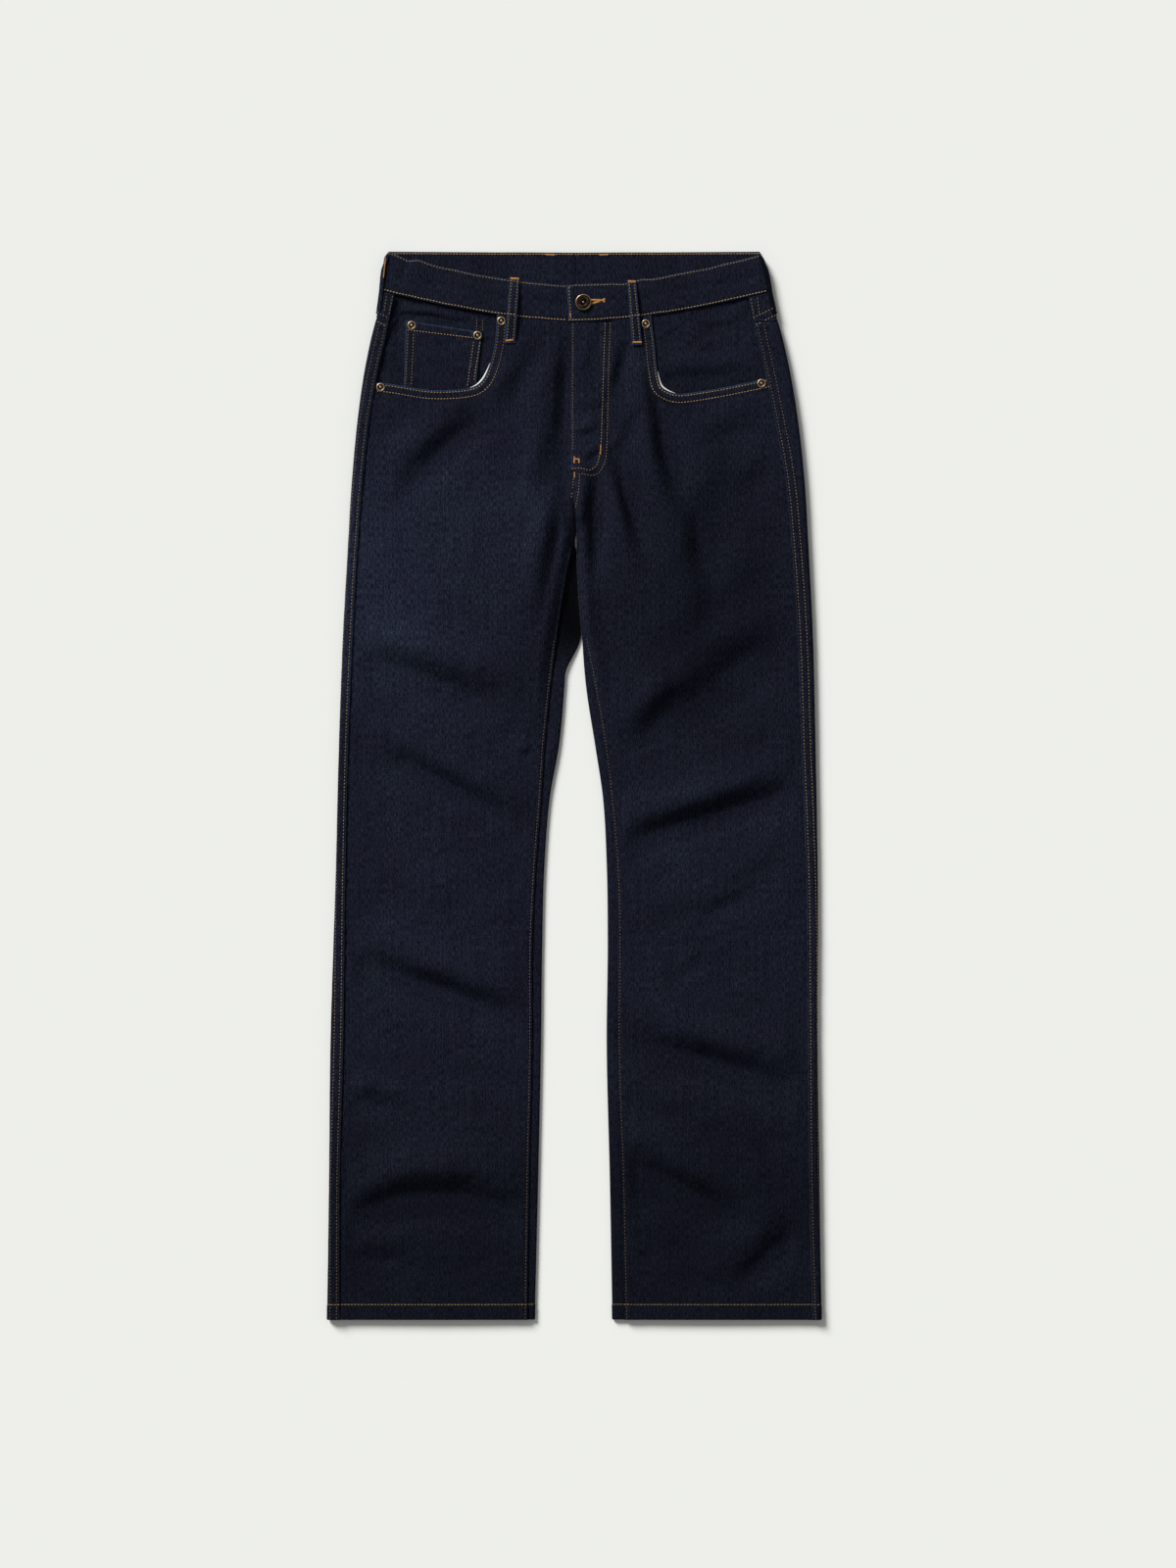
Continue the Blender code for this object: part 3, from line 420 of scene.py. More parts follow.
def between_columns(main, places):
    """Columns at fractional places among the main ones, evenly between their two neighbours."""
    low = np.minimum(np.floor(places).astype(int), main.shape[1] - 2)
    share = places - low
    return main[:, low] * (1 - share) + main[:, low + 1] * share


def front_top(side, places):
    """The front's top edge: the waistband's foot as far as the pocket, then the mouth."""
    mouth = MOUTH[side.name]
    first = main_columns(side, np.array([475.0]))[:, :2]
    to_mouth = np.linspace(first[0, 1], mouth["u"][0], FOOT_SPACES)[None, 1:]
    foot_main = np.column_stack([first, to_mouth])
    foot_u = between_columns(foot_main, np.minimum(places, FOOT_SPACES))[0]
    foot_y = band_curve(BAND_FRONT_FOOT, side.sign * foot_u) - SEAM_GAP
    mouth_t = (places - FOOT_SPACES) / (FRONT_SPACES - FOOT_SPACES)
    mouth_u, mouth_y = along_curve(mouth, np.clip(mouth_t, 0.0, 1.0))
    on_foot = places < FOOT_SPACES
    return np.where(on_foot, foot_u, mouth_u), np.where(on_foot, foot_y, mouth_y)


def front_grid(side):
    """u and y of the panel: straight rows up to the hips, then a patch whose rows bend to the
    top edge and close up before it."""
    u = between_columns(main_columns(side, FRONT_ROWS), FRONT_PLACES)
    y = np.repeat(FRONT_ROWS[:, None], u.shape[1], axis=1)
    top_u, top_y = front_top(side, FRONT_PLACES)
    length = np.hypot(top_u - u[-1], top_y - TOP_PATCH_Y)
    even = np.linspace(0.0, 1.0, PATCH_STEPS + 1)[1:-1, None] * (1.0 - TOP_STEPS[0] / length)
    t = np.vstack([even, 1.0 - TOP_STEPS[:, None] / length])
    patch_u = (1 - t) * u[-1] + t * top_u
    patch_y = (1 - t) * TOP_PATCH_Y + t * top_y
    across = FRONT_PLACES / FRONT_SPACES
    fly = main_columns(side, patch_y[:, 0])[:, :1] - patch_u[:, :1]
    outseam = side.outseam(patch_y[:, -1:]) + TUCK - patch_u[:, -1:]
    patch_u = patch_u + (1 - t) * ((1 - across) * fly + across * outseam)
    return np.vstack([u, patch_u]), np.vstack([y, patch_y])


def mouth_line(side, offset=0.0, start=0.0, end=1.0, steps=90):
    """The pocket's mouth as (u, y) points, moved aside into the panel by the offset."""
    u, y = along_curve(MOUTH[side.name], np.linspace(start, end, steps))
    du, dy = np.gradient(u), np.gradient(y)
    length = np.hypot(du, dy)
    return np.column_stack([u + offset * dy / length, y - offset * du / length])


def mouth_distance(side, u, y, from_y):
    """Distance to the pocket's mouth. It counts as far away below the height from_y."""
    return line_distance(u, y, mouth_line(side)) + FAR * (y < from_y)


def front_relief(side, u, y):
    """What sewing adds to the panel: doubled edges that stand proud, the channels of their
    stitches, and puckers beside them."""
    x = side.sign * u
    mouth = mouth_distance(side, u, y, 360.0)
    relief = 0.5 * ramp((11.5 - mouth) / 2.5) + pucker(u + y, mouth, 11, 0.18)
    for row in MOUTH_ROWS:
        relief = relief + groove(mouth - row, 0.3)
    hem = y - HEM_Y
    relief = relief + 0.75 * ramp((HEM_DEPTH + 1.2 - hem) / 2.0) + groove(hem - HEM_DEPTH, 0.45)
    relief = relief + pucker(x + 0.6 * y, np.abs(hem - HEM_DEPTH), 15, 0.25, 9.0)
    edge = u - side.inseam(y)
    below = 1.0 - ramp((y - 170.0) / 40.0)
    relief = relief + below * (groove(edge - INSEAM_ROW) + pucker(y, np.abs(edge), 19))
    relief = relief + pucker(y, np.abs(side.outseam(y) - u), 23, 0.4, 9.0)
    if side is LEFT:
        inside = line_distance(x, y, FLY_INNER_ROW)
        outside = line_distance(x, y, FLY_OUTER_ROW)
        relief = relief + groove(inside, 0.3) + groove(outside, 0.3)
        relief = relief + pucker(y + x, outside, 27, 0.35, 9.0) + pucker(y - x, inside, 29, 0.4, 14.0)
        relief = relief + 0.35 * ramp((33.0 - x) / 3.0) * ramp((y - 318.0) / 6.0)
        relief = relief + groove(edge - FLY_EDGE_ROW) * ramp((y - 335.0) / 6.0)
    return relief


def crotch_swell(side, u, y):
    """The legs stay round beside the crotch: from each inner edge the front rises by
    5.4 * smooth step(distance / 14), and sinks back within 100 mm. The left one has a narrow
    roll there, and sinks behind it."""
    edge = u - side.inseam(y)
    near = ramp((y - 40.0) / 110.0) * (1.0 - ramp((y - 268.0) / 44.0))
    if side is LEFT:
        return 3.6 * near * ramp(edge / 7.0) * (1.0 - ramp((edge - 6.0) / 18.0))
    return 5.4 * near * ramp(edge / 14.0) * (1.0 - ramp((edge - 24.0) / 76.0))


def lowest(side, u, y):
    """How low the front may sink: on the back panel, which the seat's pockets lift, and on the
    facing and the coin pocket where they are."""
    facing = ramp((u - 58.0) / 12.0) * ramp((y - 372.0) / 18.0)
    return 2.6 + RECESS * ramp((y - CROTCH_Y) / 30.0) + (2.6 if side is RIGHT else 1.4) * facing


def front_surface(side, u, y):
    """The front's face with its small creases and swelling, which the layers under it share. It
    never sinks below the lowest height: low + (above + sqrt(above ** 2 + 0.5)) / 2."""
    x = side.sign * u
    outer = ramp((side.outseam(y) - u - 5.0) / 16.0)
    inner = np.maximum(ramp((u - side.inseam(y) - 4.0) / 16.0), ramp((y - CROTCH_Y) / 25.0))
    mouth = mouth_distance(side, u, y, 350.0)
    room = outer * inner * ramp((y - HEM_Y - 15.0) / 30.0) * ramp((mouth - 4.0) / 12.0)
    room = room * ramp((band_curve(BAND_FRONT_FOOT, x) - y - 2.0) / 12.0)
    small = crease_height(FINE_FOLDS, x, y) + crease_height(SOFT_FOLDS, x, y) + cloth_swell(x, y)
    low = lowest(side, u, y)
    above = front_height(side, u, y) + room * small + crotch_swell(side, u, y) - low
    return low + 0.5 * (above + np.sqrt(above ** 2 + 0.5))


BORDERS = ("start", "end", "foot", "top")


def grid_distance(points, borders):
    """Distance from each point to the nearest of the named borders, along its row or column."""
    across = np.linalg.norm(np.diff(points, axis=1), axis=2).cumsum(axis=1)
    along = np.linalg.norm(np.diff(points, axis=0), axis=2).cumsum(axis=0)
    across = np.pad(across, ((0, 0), (1, 0)))
    along = np.pad(along, ((1, 0), (0, 0)))
    ways = dict(start=across, end=across[:, -1:] - across, foot=along, top=along[-1:] - along)
    return np.min([ways[border] for border in borders], axis=0)


def fold_strips(inner, outer, count):
    """Quads of the strip that closes a shell, round its border from the outer face's points to
    the inner face's."""
    ring = np.concatenate([outer[0, :-1], outer[:-1, -1], outer[-1, :0:-1], outer[:0:-1, 0]])
    after = np.roll(ring, -1)
    return np.stack([ring, ring + count, after + count, after], axis=-1)


def shaped(name, verts, faces):
    """A smooth mesh in the scene. Its points are given in millimetres."""
    mesh = bpy.data.meshes.new(name)
    mesh.from_pydata((verts * MM).tolist(), [], faces)
    mesh.shade_smooth()
    piece = bpy.data.objects.new(name, mesh)
    bpy.context.scene.collection.objects.link(piece)
    return piece


def mark(piece, name, values):
    """One value for each point of the piece, which its finish reads as an attribute."""
    piece.data.attributes.new(name, "FLOAT", "POINT").data.foreach_set("value", values)


def cloth(name, side, u, y, z, wall=DENIM, relief=0.0, edge=None, wear_and_shade=None, level=False):
    """A closed wall of cloth. Its outer face is the grid (u, y, z), moved along its normals by
    the relief, and its inner face lies a wall's thickness inside. Towards its border, at the
    distance d, both faces draw in by 0.9 * (r - sqrt(r * r - (r - d) ** 2)), with r half the
    wall. The UV map follows the cloth in metres. The wear_and_shade attribute is 1 at abraded
    edges, and goes down to -1 where shade is painted, in crevices and other shaded parts."""
    points = np.stack([side.sign * u, y, z], axis=-1)
    normal = side.sign * np.cross(np.gradient(points, axis=1), np.gradient(points, axis=0))
    normal /= np.linalg.norm(normal, axis=2, keepdims=True)
    if edge is None:
        edge = grid_distance(points, BORDERS)
    wall = np.broadcast_to(np.asarray(wall, dtype=float), u.shape)
    radius = 0.5 * wall
    inset = np.maximum(radius - edge, 0.0)
    drop = 0.9 * (radius - np.sqrt(radius ** 2 - inset ** 2))
    outer = points + (relief - drop)[..., None] * normal
    inner = points - (wall - drop)[..., None] * normal
    across = np.linalg.norm(np.diff(points, axis=1), axis=2).cumsum(axis=1)
    weave = np.stack([u if level else u[:, :1] + np.pad(across, ((0, 0), (1, 0))), y], axis=-1)
    if wear_and_shade is None:
        wear_and_shade = np.exp(-edge / 0.7)

    count = u.size
    index = np.arange(count).reshape(u.shape)
    front = np.stack([index[:-1, :-1], index[:-1, 1:], index[1:, 1:], index[1:, :-1]], axis=-1)
    front = front.reshape(-1, 4)
    rim = fold_strips(index + count, index, count)
    faces = np.vstack([front, front[:, ::-1] + count, rim])
    if side.sign < 0:
        faces = faces[:, ::-1]
    verts = np.vstack([outer.reshape(-1, 3), inner.reshape(-1, 3)])
    piece = shaped(name, verts, faces.tolist())
    mesh = piece.data
    corners = np.empty(len(mesh.loops), dtype=np.int32)
    mesh.loops.foreach_get("vertex_index", corners)
    on_cloth = np.tile(weave.reshape(-1, 2), (2, 1)) * MM
    mesh.uv_layers.new(name="Weave").data.foreach_set("uv", on_cloth[corners].ravel())
    mark(piece, "wear_and_shade", np.tile(np.broadcast_to(wear_and_shade, u.shape).ravel(), 2))
    return piece


def node(tree, kind, inputs=(), **settings):
    """Adds a shader node, sets its properties, and sets or links its inputs."""
    made = tree.nodes.new("ShaderNode" + kind)
    for key, value in settings.items():
        setattr(made, key, value)
    for key, value in dict(inputs).items():
        if isinstance(value, bpy.types.NodeSocket):
            tree.links.new(value, made.inputs[key])
        else:
            made.inputs[key].default_value = value
    return made


def new_material(name, **shader):
    """An empty material with its own Principled shader, whose plain values are set by name."""
    material = bpy.data.materials.new(name)
    material.use_nodes = True
    surface = material.node_tree.nodes["Principled BSDF"]
    for key, value in shader.items():
        surface.inputs[key.replace("_", " ")].default_value = value
    return material, material.node_tree, surface


def colour_ramp(tree, factor, *stops):
    """A colour ramp through the stops, each a place from 0 to 1 and a colour."""
    made = node(tree, "ValToRGB", {"Fac": factor})
    elements = made.color_ramp.elements
    for (place, colour), element in zip(stops, list(elements) + [None] * (len(stops) - 2)):
        element = element or elements.new(place)
        element.position = place
        element.color = (*colour, 1.0)
    return made.outputs["Color"]


def show(tree, surface, colour, height, strength, distance):
    """Gives the shader its colour and a bump from the height."""
    tree.links.new(colour, surface.inputs["Base Color"])
    bump = node(tree, "Bump", {"Height": height, "Strength": strength, "Distance": distance})
    tree.links.new(bump.outputs["Normal"], surface.inputs["Normal"])


INDIGO_DEEP = (0.0018, 0.0022, 0.0062)
INDIGO = (0.0064, 0.0078, 0.0155)
INDIGO_PALE = (0.0150, 0.0182, 0.0300)
INDIGO_WORN = (0.036, 0.060, 0.110)


# Patches of painted light and shade, brighter or darker: x, y and two radii in metres, and how much.
PAINTED_LIGHT_PATCHES = table(
    "x      y      across along strength",
    (-0.20, 0.21,  0.15,  0.22, 0.75),
    (-0.07, 0.30,  0.08,  0.12, 0.35),
    (0.13,  0.17,  0.14,  0.26, -0.40),
    (0.13,  -0.33, 0.20,  0.22, -0.22),
    (-0.15, -0.09, 0.14,  0.20, 0.18),
)


def indigo_denim():
    """Rope-dyed denim on the cloth's own UV map: streaks 1 mm wide and 10 mm long along the warp,
    slubs, a fine speckle, the twill's diagonal wales, slow clouds in the dye, broad patches of
    painted light and shade, darker towards the hems, pale worn edges and painted shade in
    crevices and shaded parts."""
    material, tree, surface = new_material("indigo_denim", Roughness=0.9, Specular_IOR_Level=0.05)
    uv = node(tree, "UVMap", uv_map="Weave").outputs["UV"]

    def stretched(across, along, detail, turn=0.0):
        """Noise with so many cells a metre across and along the warp."""
        place = node(tree, "Mapping", {"Vector": uv, "Scale": (across, along, 1.0),
                                       "Rotation": (0.0, 0.0, turn)})
        return node(tree, "TexNoise", {"Vector": place.outputs["Vector"], "Scale": 1.0,
                                       "Detail": detail, "Roughness": 0.6}).outputs["Fac"]

    streak = stretched(950.0, 190.0, 1.0)
    slub = stretched(620.0, 14.0, 1.0)
    speckle = stretched(1150.0, 850.0, 1.0)
    turned = node(tree, "Mapping", {"Vector": uv, "Rotation": (0.0, 0.0, math.radians(-28.0))})
    wale = node(tree, "TexWave", {"Vector": turned.outputs["Vector"], "Scale": 350.0,
                                  "Distortion": 1.0, "Detail": 1.0}).outputs["Fac"]
    tone = node(tree, "Math", {0: streak, 1: speckle}, operation="ADD").outputs[0]
    tone = node(tree, "Math", {0: tone, 1: 0.64, 2: -0.145}, operation="MULTIPLY_ADD").outputs[0]
    tone = node(tree, "Math", {0: slub, 1: 0.22, 2: tone}, operation="MULTIPLY_ADD").outputs[0]
    tone = node(tree, "Math", {0: wale, 1: 0.05, 2: tone}, operation="MULTIPLY_ADD").outputs[0]
    denim_colour = colour_ramp(tree, tone, (0.49, INDIGO_DEEP), (0.63, INDIGO), (0.78, INDIGO_PALE))
    place = node(tree, "TexCoord").outputs["Object"]
    cloud = node(tree, "TexNoise", {"Vector": place, "Scale": 13.0, "Detail": 3.0}).outputs["Fac"]
    cloud = colour_ramp(tree, cloud, (0.3, (0.86, 0.78, 0.88)), (0.7, (1.08, 1.16, 1.10)))
    denim_colour = node(tree, "MixRGB", {"Fac": 1.0, "Color1": denim_colour, "Color2": cloud}, blend_type="MULTIPLY")

    # Darker towards the hems; then each patch multiplies in painted light or shade.
    hem_tone_and_painted_light = node(tree, "MapRange", {"Value": node(tree, "SeparateXYZ", {0: place}).outputs["Y"],
                                   "From Min": -0.43, "From Max": -0.3, "To Min": 0.62, "To Max": 0.97},
                interpolation_type="SMOOTHSTEP").outputs["Result"]
    for x, y, across, along, strength in zip(*PAINTED_LIGHT_PATCHES.values()):
        spot = node(tree, "Mapping", {"Vector": place, "Scale": (1.0 / across, 1.0 / along, 0.0),
                                      "Location": (-x / across, -y / along, 0.0)})
        spot = node(tree, "TexGradient", {"Vector": spot.outputs["Vector"]}, gradient_type="SPHERICAL")
        spot = node(tree, "MapRange", {"Value": spot.outputs["Fac"], "To Min": 1.0,
                                       "To Max": 1.0 + strength}, interpolation_type="SMOOTHSTEP")
        hem_tone_and_painted_light = node(tree, "Math", {0: spot.outputs["Result"], 1: hem_tone_and_painted_light}, operation="MULTIPLY").outputs[0]
    denim_colour = node(tree, "MixRGB", {"Fac": 1.0, "Color1": denim_colour.outputs["Color"], "Color2": hem_tone_and_painted_light},
               blend_type="MULTIPLY")
    wear_and_shade = node(tree, "Attribute", attribute_name="wear_and_shade").outputs["Fac"]
    # Painted shade: below 0 the attribute darkens the colour, to 0.12 of it at -1.
    shade = node(tree, "MapRange", {"Value": wear_and_shade, "From Min": -1.0, "From Max": 0.0,
                                    "To Min": 0.12, "To Max": 1.0}).outputs["Result"]
    denim_colour = node(tree, "MixRGB", {"Fac": 1.0, "Color1": denim_colour.outputs["Color"], "Color2": shade},
               blend_type="MULTIPLY")
    patchy = node(tree, "Math", {0: wear_and_shade, 1: streak}, operation="MULTIPLY").outputs[0]
    patchy = node(tree, "Math", {0: patchy, 1: 1.6}, operation="MULTIPLY", use_clamp=True)
    denim_colour = node(tree, "MixRGB", {"Fac": patchy.outputs[0], "Color1": denim_colour.outputs["Color"],
                                "Color2": (*INDIGO_WORN, 1.0)})
    height = node(tree, "Math", {0: wale, 1: 0.5, 2: streak}, operation="MULTIPLY_ADD").outputs[0]
    show(tree, surface, denim_colour.outputs["Color"], height, 0.55, 0.00025)
    return material


DENIM_FINISH = indigo_denim()


def dress(piece, material, slot, *nodes):
    """Gives the piece its finish and its place in the model: one rigid body, and the CAD nodes
    that it stands for."""
    piece.data.materials.append(material)
    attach(piece, "root")
    if nodes:
        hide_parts(*nodes)


CREVICE_WIDTH = 4.5     # how far out the right front is painted dark as shade, where it goes in under the fly
CREVICE_SHADE = 0.95


def front(side):
    """One front panel. Its wall is doubled within the hem. The right one dips by a layer under
    the left one along the fly, and is painted dark there as shade, by exp(-(distance / width) ** 2)."""
    u, y = front_grid(side)
    z = front_surface(side, u, y)
    if side is RIGHT:
        z = z - LAYER * ramp((22.0 - u) / 16.0) * ramp((y - SEAT_Y) / (LAP_Y - SEAT_Y))
    clear = ramp((u - side.inseam(y) - 12.0) / 6.0) * ramp((side.outseam(y) - u - 16.0) / 6.0)
    wall = DENIM * (1.0 + clear * ramp((HEM_DEPTH + 2.0 - (y - HEM_Y)) / 2.0))
    points = np.stack([u, y, z], axis=-1)
    mouth = mouth_distance(side, u, y, 360.0)
    edge = np.minimum(mouth, grid_distance(points, ("start", "foot", "top")))
    wear_and_shade = np.exp(-mouth.clip(0.0) / 0.7)
    if side is LEFT:
        fly_edge = (u - side.inseam(y)).clip(0.0) + FAR * (y < 322.0)
        wear_and_shade = np.maximum(wear_and_shade, 0.7 * np.exp(-fly_edge / 0.7))
    else:
        # Painted shade where the right front goes in under the fly.
        crevice_shade_mask = np.exp(-((u - side.inseam(y)) / CREVICE_WIDTH) ** 2) * ramp((y - 236.0) / 12.0)
        wear_and_shade = wear_and_shade - CREVICE_SHADE * crevice_shade_mask * ramp((306.0 - y) / 22.0)
    piece = cloth("denim_front_" + side.name, side, u, y, z, wall, edge=edge, wear_and_shade=wear_and_shade,
                  relief=front_relief(side, u, y), level=True)
    dress(piece, DENIM_FINISH, "denim", "front_" + side.name)
    return piece


cloth_pieces = [front(side) for side in SIDES]

# ---- Pocket facings --------------------------------------------------------------------------
# Inside each pocket's mouth a denim facing covers the bag, from the waistband's foot to below the
# mouth. The right one lies a layer deeper, because the coin pocket is sewn on it.

FACING_INNER_U = 70.0
FACING_BOTTOM_Y = 390.0
FACING_FOLDS = table(
    "x       y       heading reach  bend   width height",
    (-186.0, 466.0,  52.0,   24.0,  0.0,   3.5,  1.3),
    (-150.0, 480.0,  -8.0,   42.0,  -5.0,  3.2,  1.7),
    (-110.0, 474.0,  -14.0,  20.0,  0.0,   3.5,  0.7),
    (-188.0, 432.0,  -60.0,  22.0,  0.0,   5.0,  0.6),
    (132.0,  421.0,  5.0,    62.0,  0.0,   9.0,  1.5),
    (112.0,  455.0,  -32.0,  34.0,  0.0,   7.0,  0.8),
    (150.0,  470.0,  12.0,   32.0,  0.0,   6.0,  0.9),
    (172.0,  450.0,  -48.0,  28.0,  0.0,   6.0,  0.7),
)


def even_steps(length, step):
    """Shares of a length from 0 to 1: close steps at both ends, even ones between."""
    inner = np.arange(2.0, length - 2.0, step)
    return np.concatenate([EDGE_STEPS, inner, length - EDGE_STEPS[::-1]]) / length


def facing_drop(side, u):
    """How far a facing lies below the front."""
    if side is RIGHT:
        return 2 * LAYER - LAYER * ramp((u - 178.0) / 12.0)
    return LAYER + 0.0 * u


def pocket_facing(side):
    """The facing's grid runs from an upright inner edge to the outseam, whose curve it follows."""
    across = even_steps(130.0, 2.2)
    t = even_steps(100.0, 2.2)[:, None]
    outer = side.outseam(FACING_BOTTOM_Y + t * (500.0 - FACING_BOTTOM_Y)) + TUCK
    u = FACING_INNER_U + across * (outer - FACING_INNER_U)
    top = band_curve(BAND_FRONT_FOOT, side.sign * u) - SEAM_GAP
    y = FACING_BOTTOM_Y + t * (top - FACING_BOTTOM_Y)
    z = front_surface(side, u, y) - facing_drop(side, u)
    clear = ramp(line_distance(u, y, mouth_line(side)) / 14.0 - 0.2)
    slant, rise = (0.8 * u + 0.6 * y) / 22.0, (0.8 * y - 0.6 * u) / 9.0
    relief = 0.55 * clear * (soft_noise(slant, rise, 31) - 0.4) - 0.15
    relief = relief + clear * crease_height(FACING_FOLDS, side.sign * u, y)
    # Painted shade: the left facing is darker towards its foot, below the pocket's mouth.
    painted_shade = -0.3 * ramp((440.0 - y) / 25.0) * (side is LEFT)
    piece = cloth("denim_facing_" + side.name, side, u, y, z, relief=relief, wear_and_shade=painted_shade + 0.0 * u,
                  level=True)
    dress(piece, DENIM_FINISH, "denim", "pocket_facing_" + side.name)
    return piece


cloth_pieces += [pocket_facing(side) for side in SIDES]

# ---- Coin pocket -----------------------------------------------------------------------------
# A small denim pocket on the right facing: its top edge is hemmed with one row, its sides are
# turned under with two rows, and its foot runs down under the mouth of the big pocket.

COIN_CORNERS = ((101.5, 396.0), (173.5, 396.0), (94.1, 461.5), (171.6, 473.7))
COIN_TOP_ROW = 8.5
COIN_SIDE_ROWS = (2.2, 8.2)


def coin_pocket():
    """The grid blends its four corners: foot to head, and inner to outer side."""
    across = even_steps(75.0, 1.4)[None, :, None]
    t = even_steps(72.0, 1.6)[:, None, None]
    foot_in, foot_out, head_in, head_out = (np.array(corner) for corner in COIN_CORNERS)
    foot = foot_in + across * (foot_out - foot_in)
    head = head_in + across * (head_out - head_in)
    u, y = np.moveaxis(foot + t * (head - foot), -1, 0)
    z = front_surface(RIGHT, u, y) - LAYER
    points = np.stack([u, y, z], axis=-1)
    sides = grid_distance(points, ("start", "end"))
    head = grid_distance(points, ("top",))
    relief = 0.35 * ramp((10.0 - np.minimum(sides, head)) / 2.5) + groove(head - COIN_TOP_ROW)
    relief = relief + groove(sides - COIN_SIDE_ROWS[0]) + groove(sides - COIN_SIDE_ROWS[1])
    relief = relief + pucker(y + u, np.minimum(sides, head), 35, 0.2)
    slant, rise = (u + 0.5 * y) / 20.0, (y - 0.3 * u) / 8.0
    relief = relief + 0.45 * soft_noise(slant, rise, 37) * ramp(sides / 10.0)
    wear_and_shade = np.exp(-np.minimum(sides, head) / 0.6)
    piece = cloth("denim_coin_pocket", RIGHT, u, y, z, relief=relief, wear_and_shade=wear_and_shade, level=True)
    dress(piece, DENIM_FINISH, "denim", "coin_pocket")
    return piece


cloth_pieces.append(coin_pocket())

# ---- Pocket bags -----------------------------------------------------------------------------
# The bags are undyed plain-weave cotton. Only a sliver of each shows, where it rolls out past the
# folded edge at the lower corner of the pocket's mouth.

BAG_START, BAG_END = 3.0 / 11.0, 6.0 / 11.0
BAG_SLIVER = 1.3


def pocketing():
    """Plain weave on the cloth's UV map: two sets of bands, one along and one across."""
    material, tree, surface = new_material("undyed_pocketing", Roughness=0.9)
    uv = node(tree, "UVMap", uv_map="Weave").outputs["UV"]
    bands = [node(tree, "TexWave", {"Vector": uv, "Scale": 620.0, "Distortion": 0.6},
                  bands_direction=way).outputs["Fac"] for way in ("X", "Y")]
    weave = node(tree, "Math", {0: bands[0], 1: bands[1]}, operation="MULTIPLY").outputs[0]
    tint = colour_ramp(tree, weave, (0.0, (0.62, 0.61, 0.58)), (1.0, (0.86, 0.85, 0.81)))
    show(tree, surface, tint, weave, 0.4, 0.00015)
    return material


POCKETING_FINISH = pocketing()


def pocket_bag(side):
    """A crescent beside the mouth: its width is a sine of the place along it."""
    near = mouth_line(side, -1.5 * SEAM_GAP, BAG_START, BAG_END, 40)
    s = np.linspace(0.0, 1.0, 40)
    width = 0.35 + BAG_SLIVER * np.sin(math.pi * s)
    far = mouth_line(side, -1.5 * SEAM_GAP - width, BAG_START, BAG_END, 40)
    t = np.linspace(0.0, 1.0, 7)[:, None, None]
    u, y = np.moveaxis(near + t * (far - near), -1, 0)
    roll = 0.5 * (1.0 - np.cos(math.pi * t[..., 0]))
    z = front_surface(side, u, y) + 0.1 - 0.5 * roll
    piece = cloth("pocketing_bag_" + side.name, side, u, y, z, 0.9)
    dress(piece, POCKETING_FINISH, "pocketing", "pocket_bag_" + side.name)
    return piece


cloth_pieces += [pocket_bag(side) for side in SIDES]

# ---- Back panels -----------------------------------------------------------------------------
# Each back panel lies on the surface, turns up round the outer fold and laps over the front as
# far as the outseam, felled there with two rows. At the inner fold it turns up and runs in under
# the front's inseam. Above the crotch it ends at the centre back seam.

OUTSEAM_ROWS = (3.0, 9.5)
YOKE_Y = dict(seam=472.0, fold=483.0, centre=441.0)
STRIP_SHARES = np.array([0.0, 0.012, 0.03, 0.06, 0.1, 0.16, 0.24, 0.32, 0.4, 0.5, 0.6, 0.7, 0.8,
                         0.9, 1.0])
ARC_ANGLES = np.radians(np.linspace(84.0, -90.0, 15))
FLOOR_SHARES = np.linspace(0.96, 0.04, 20)
RAISED_SHARE = 0.9
FLAP_TOP_Y = 226.0      # here the flap under the inseam has run out, and its bend starts to open
FLOOR_EDGE_Z = 1.2      # beside the crotch the flap sinks nearly to this height
ROLL_SLIT = 0.35        # between the two legs' inner folds beside the crotch
BEND_TURNS = np.linspace(0.0, 1.0, 8)
BACK_ROWS = np.concatenate([HEM_Y + HEM_STEPS, np.arange(HEM_Y + 24.5, LAP_Y, 3.5), (LAP_Y,)])


def seat_lift(y):
    """0 on the legs, 1 where the seat lies on its pockets."""
    return ramp((y - CROTCH_Y) / (SEAT_Y - CROTCH_Y))


def inner_roll(side, y):
    """The inner fold. Beside the crotch the right leg's roll bulges over to the left one's."""
    fold = side.inner_fold(y)
    if side is LEFT:
        return fold
    near = ramp((y - 112.0) / 45.0) * (1.0 - ramp((y - 238.0) / 16.0))
    return fold + near * (ROLL_SLIT - LEFT.inner_fold(y) - fold)


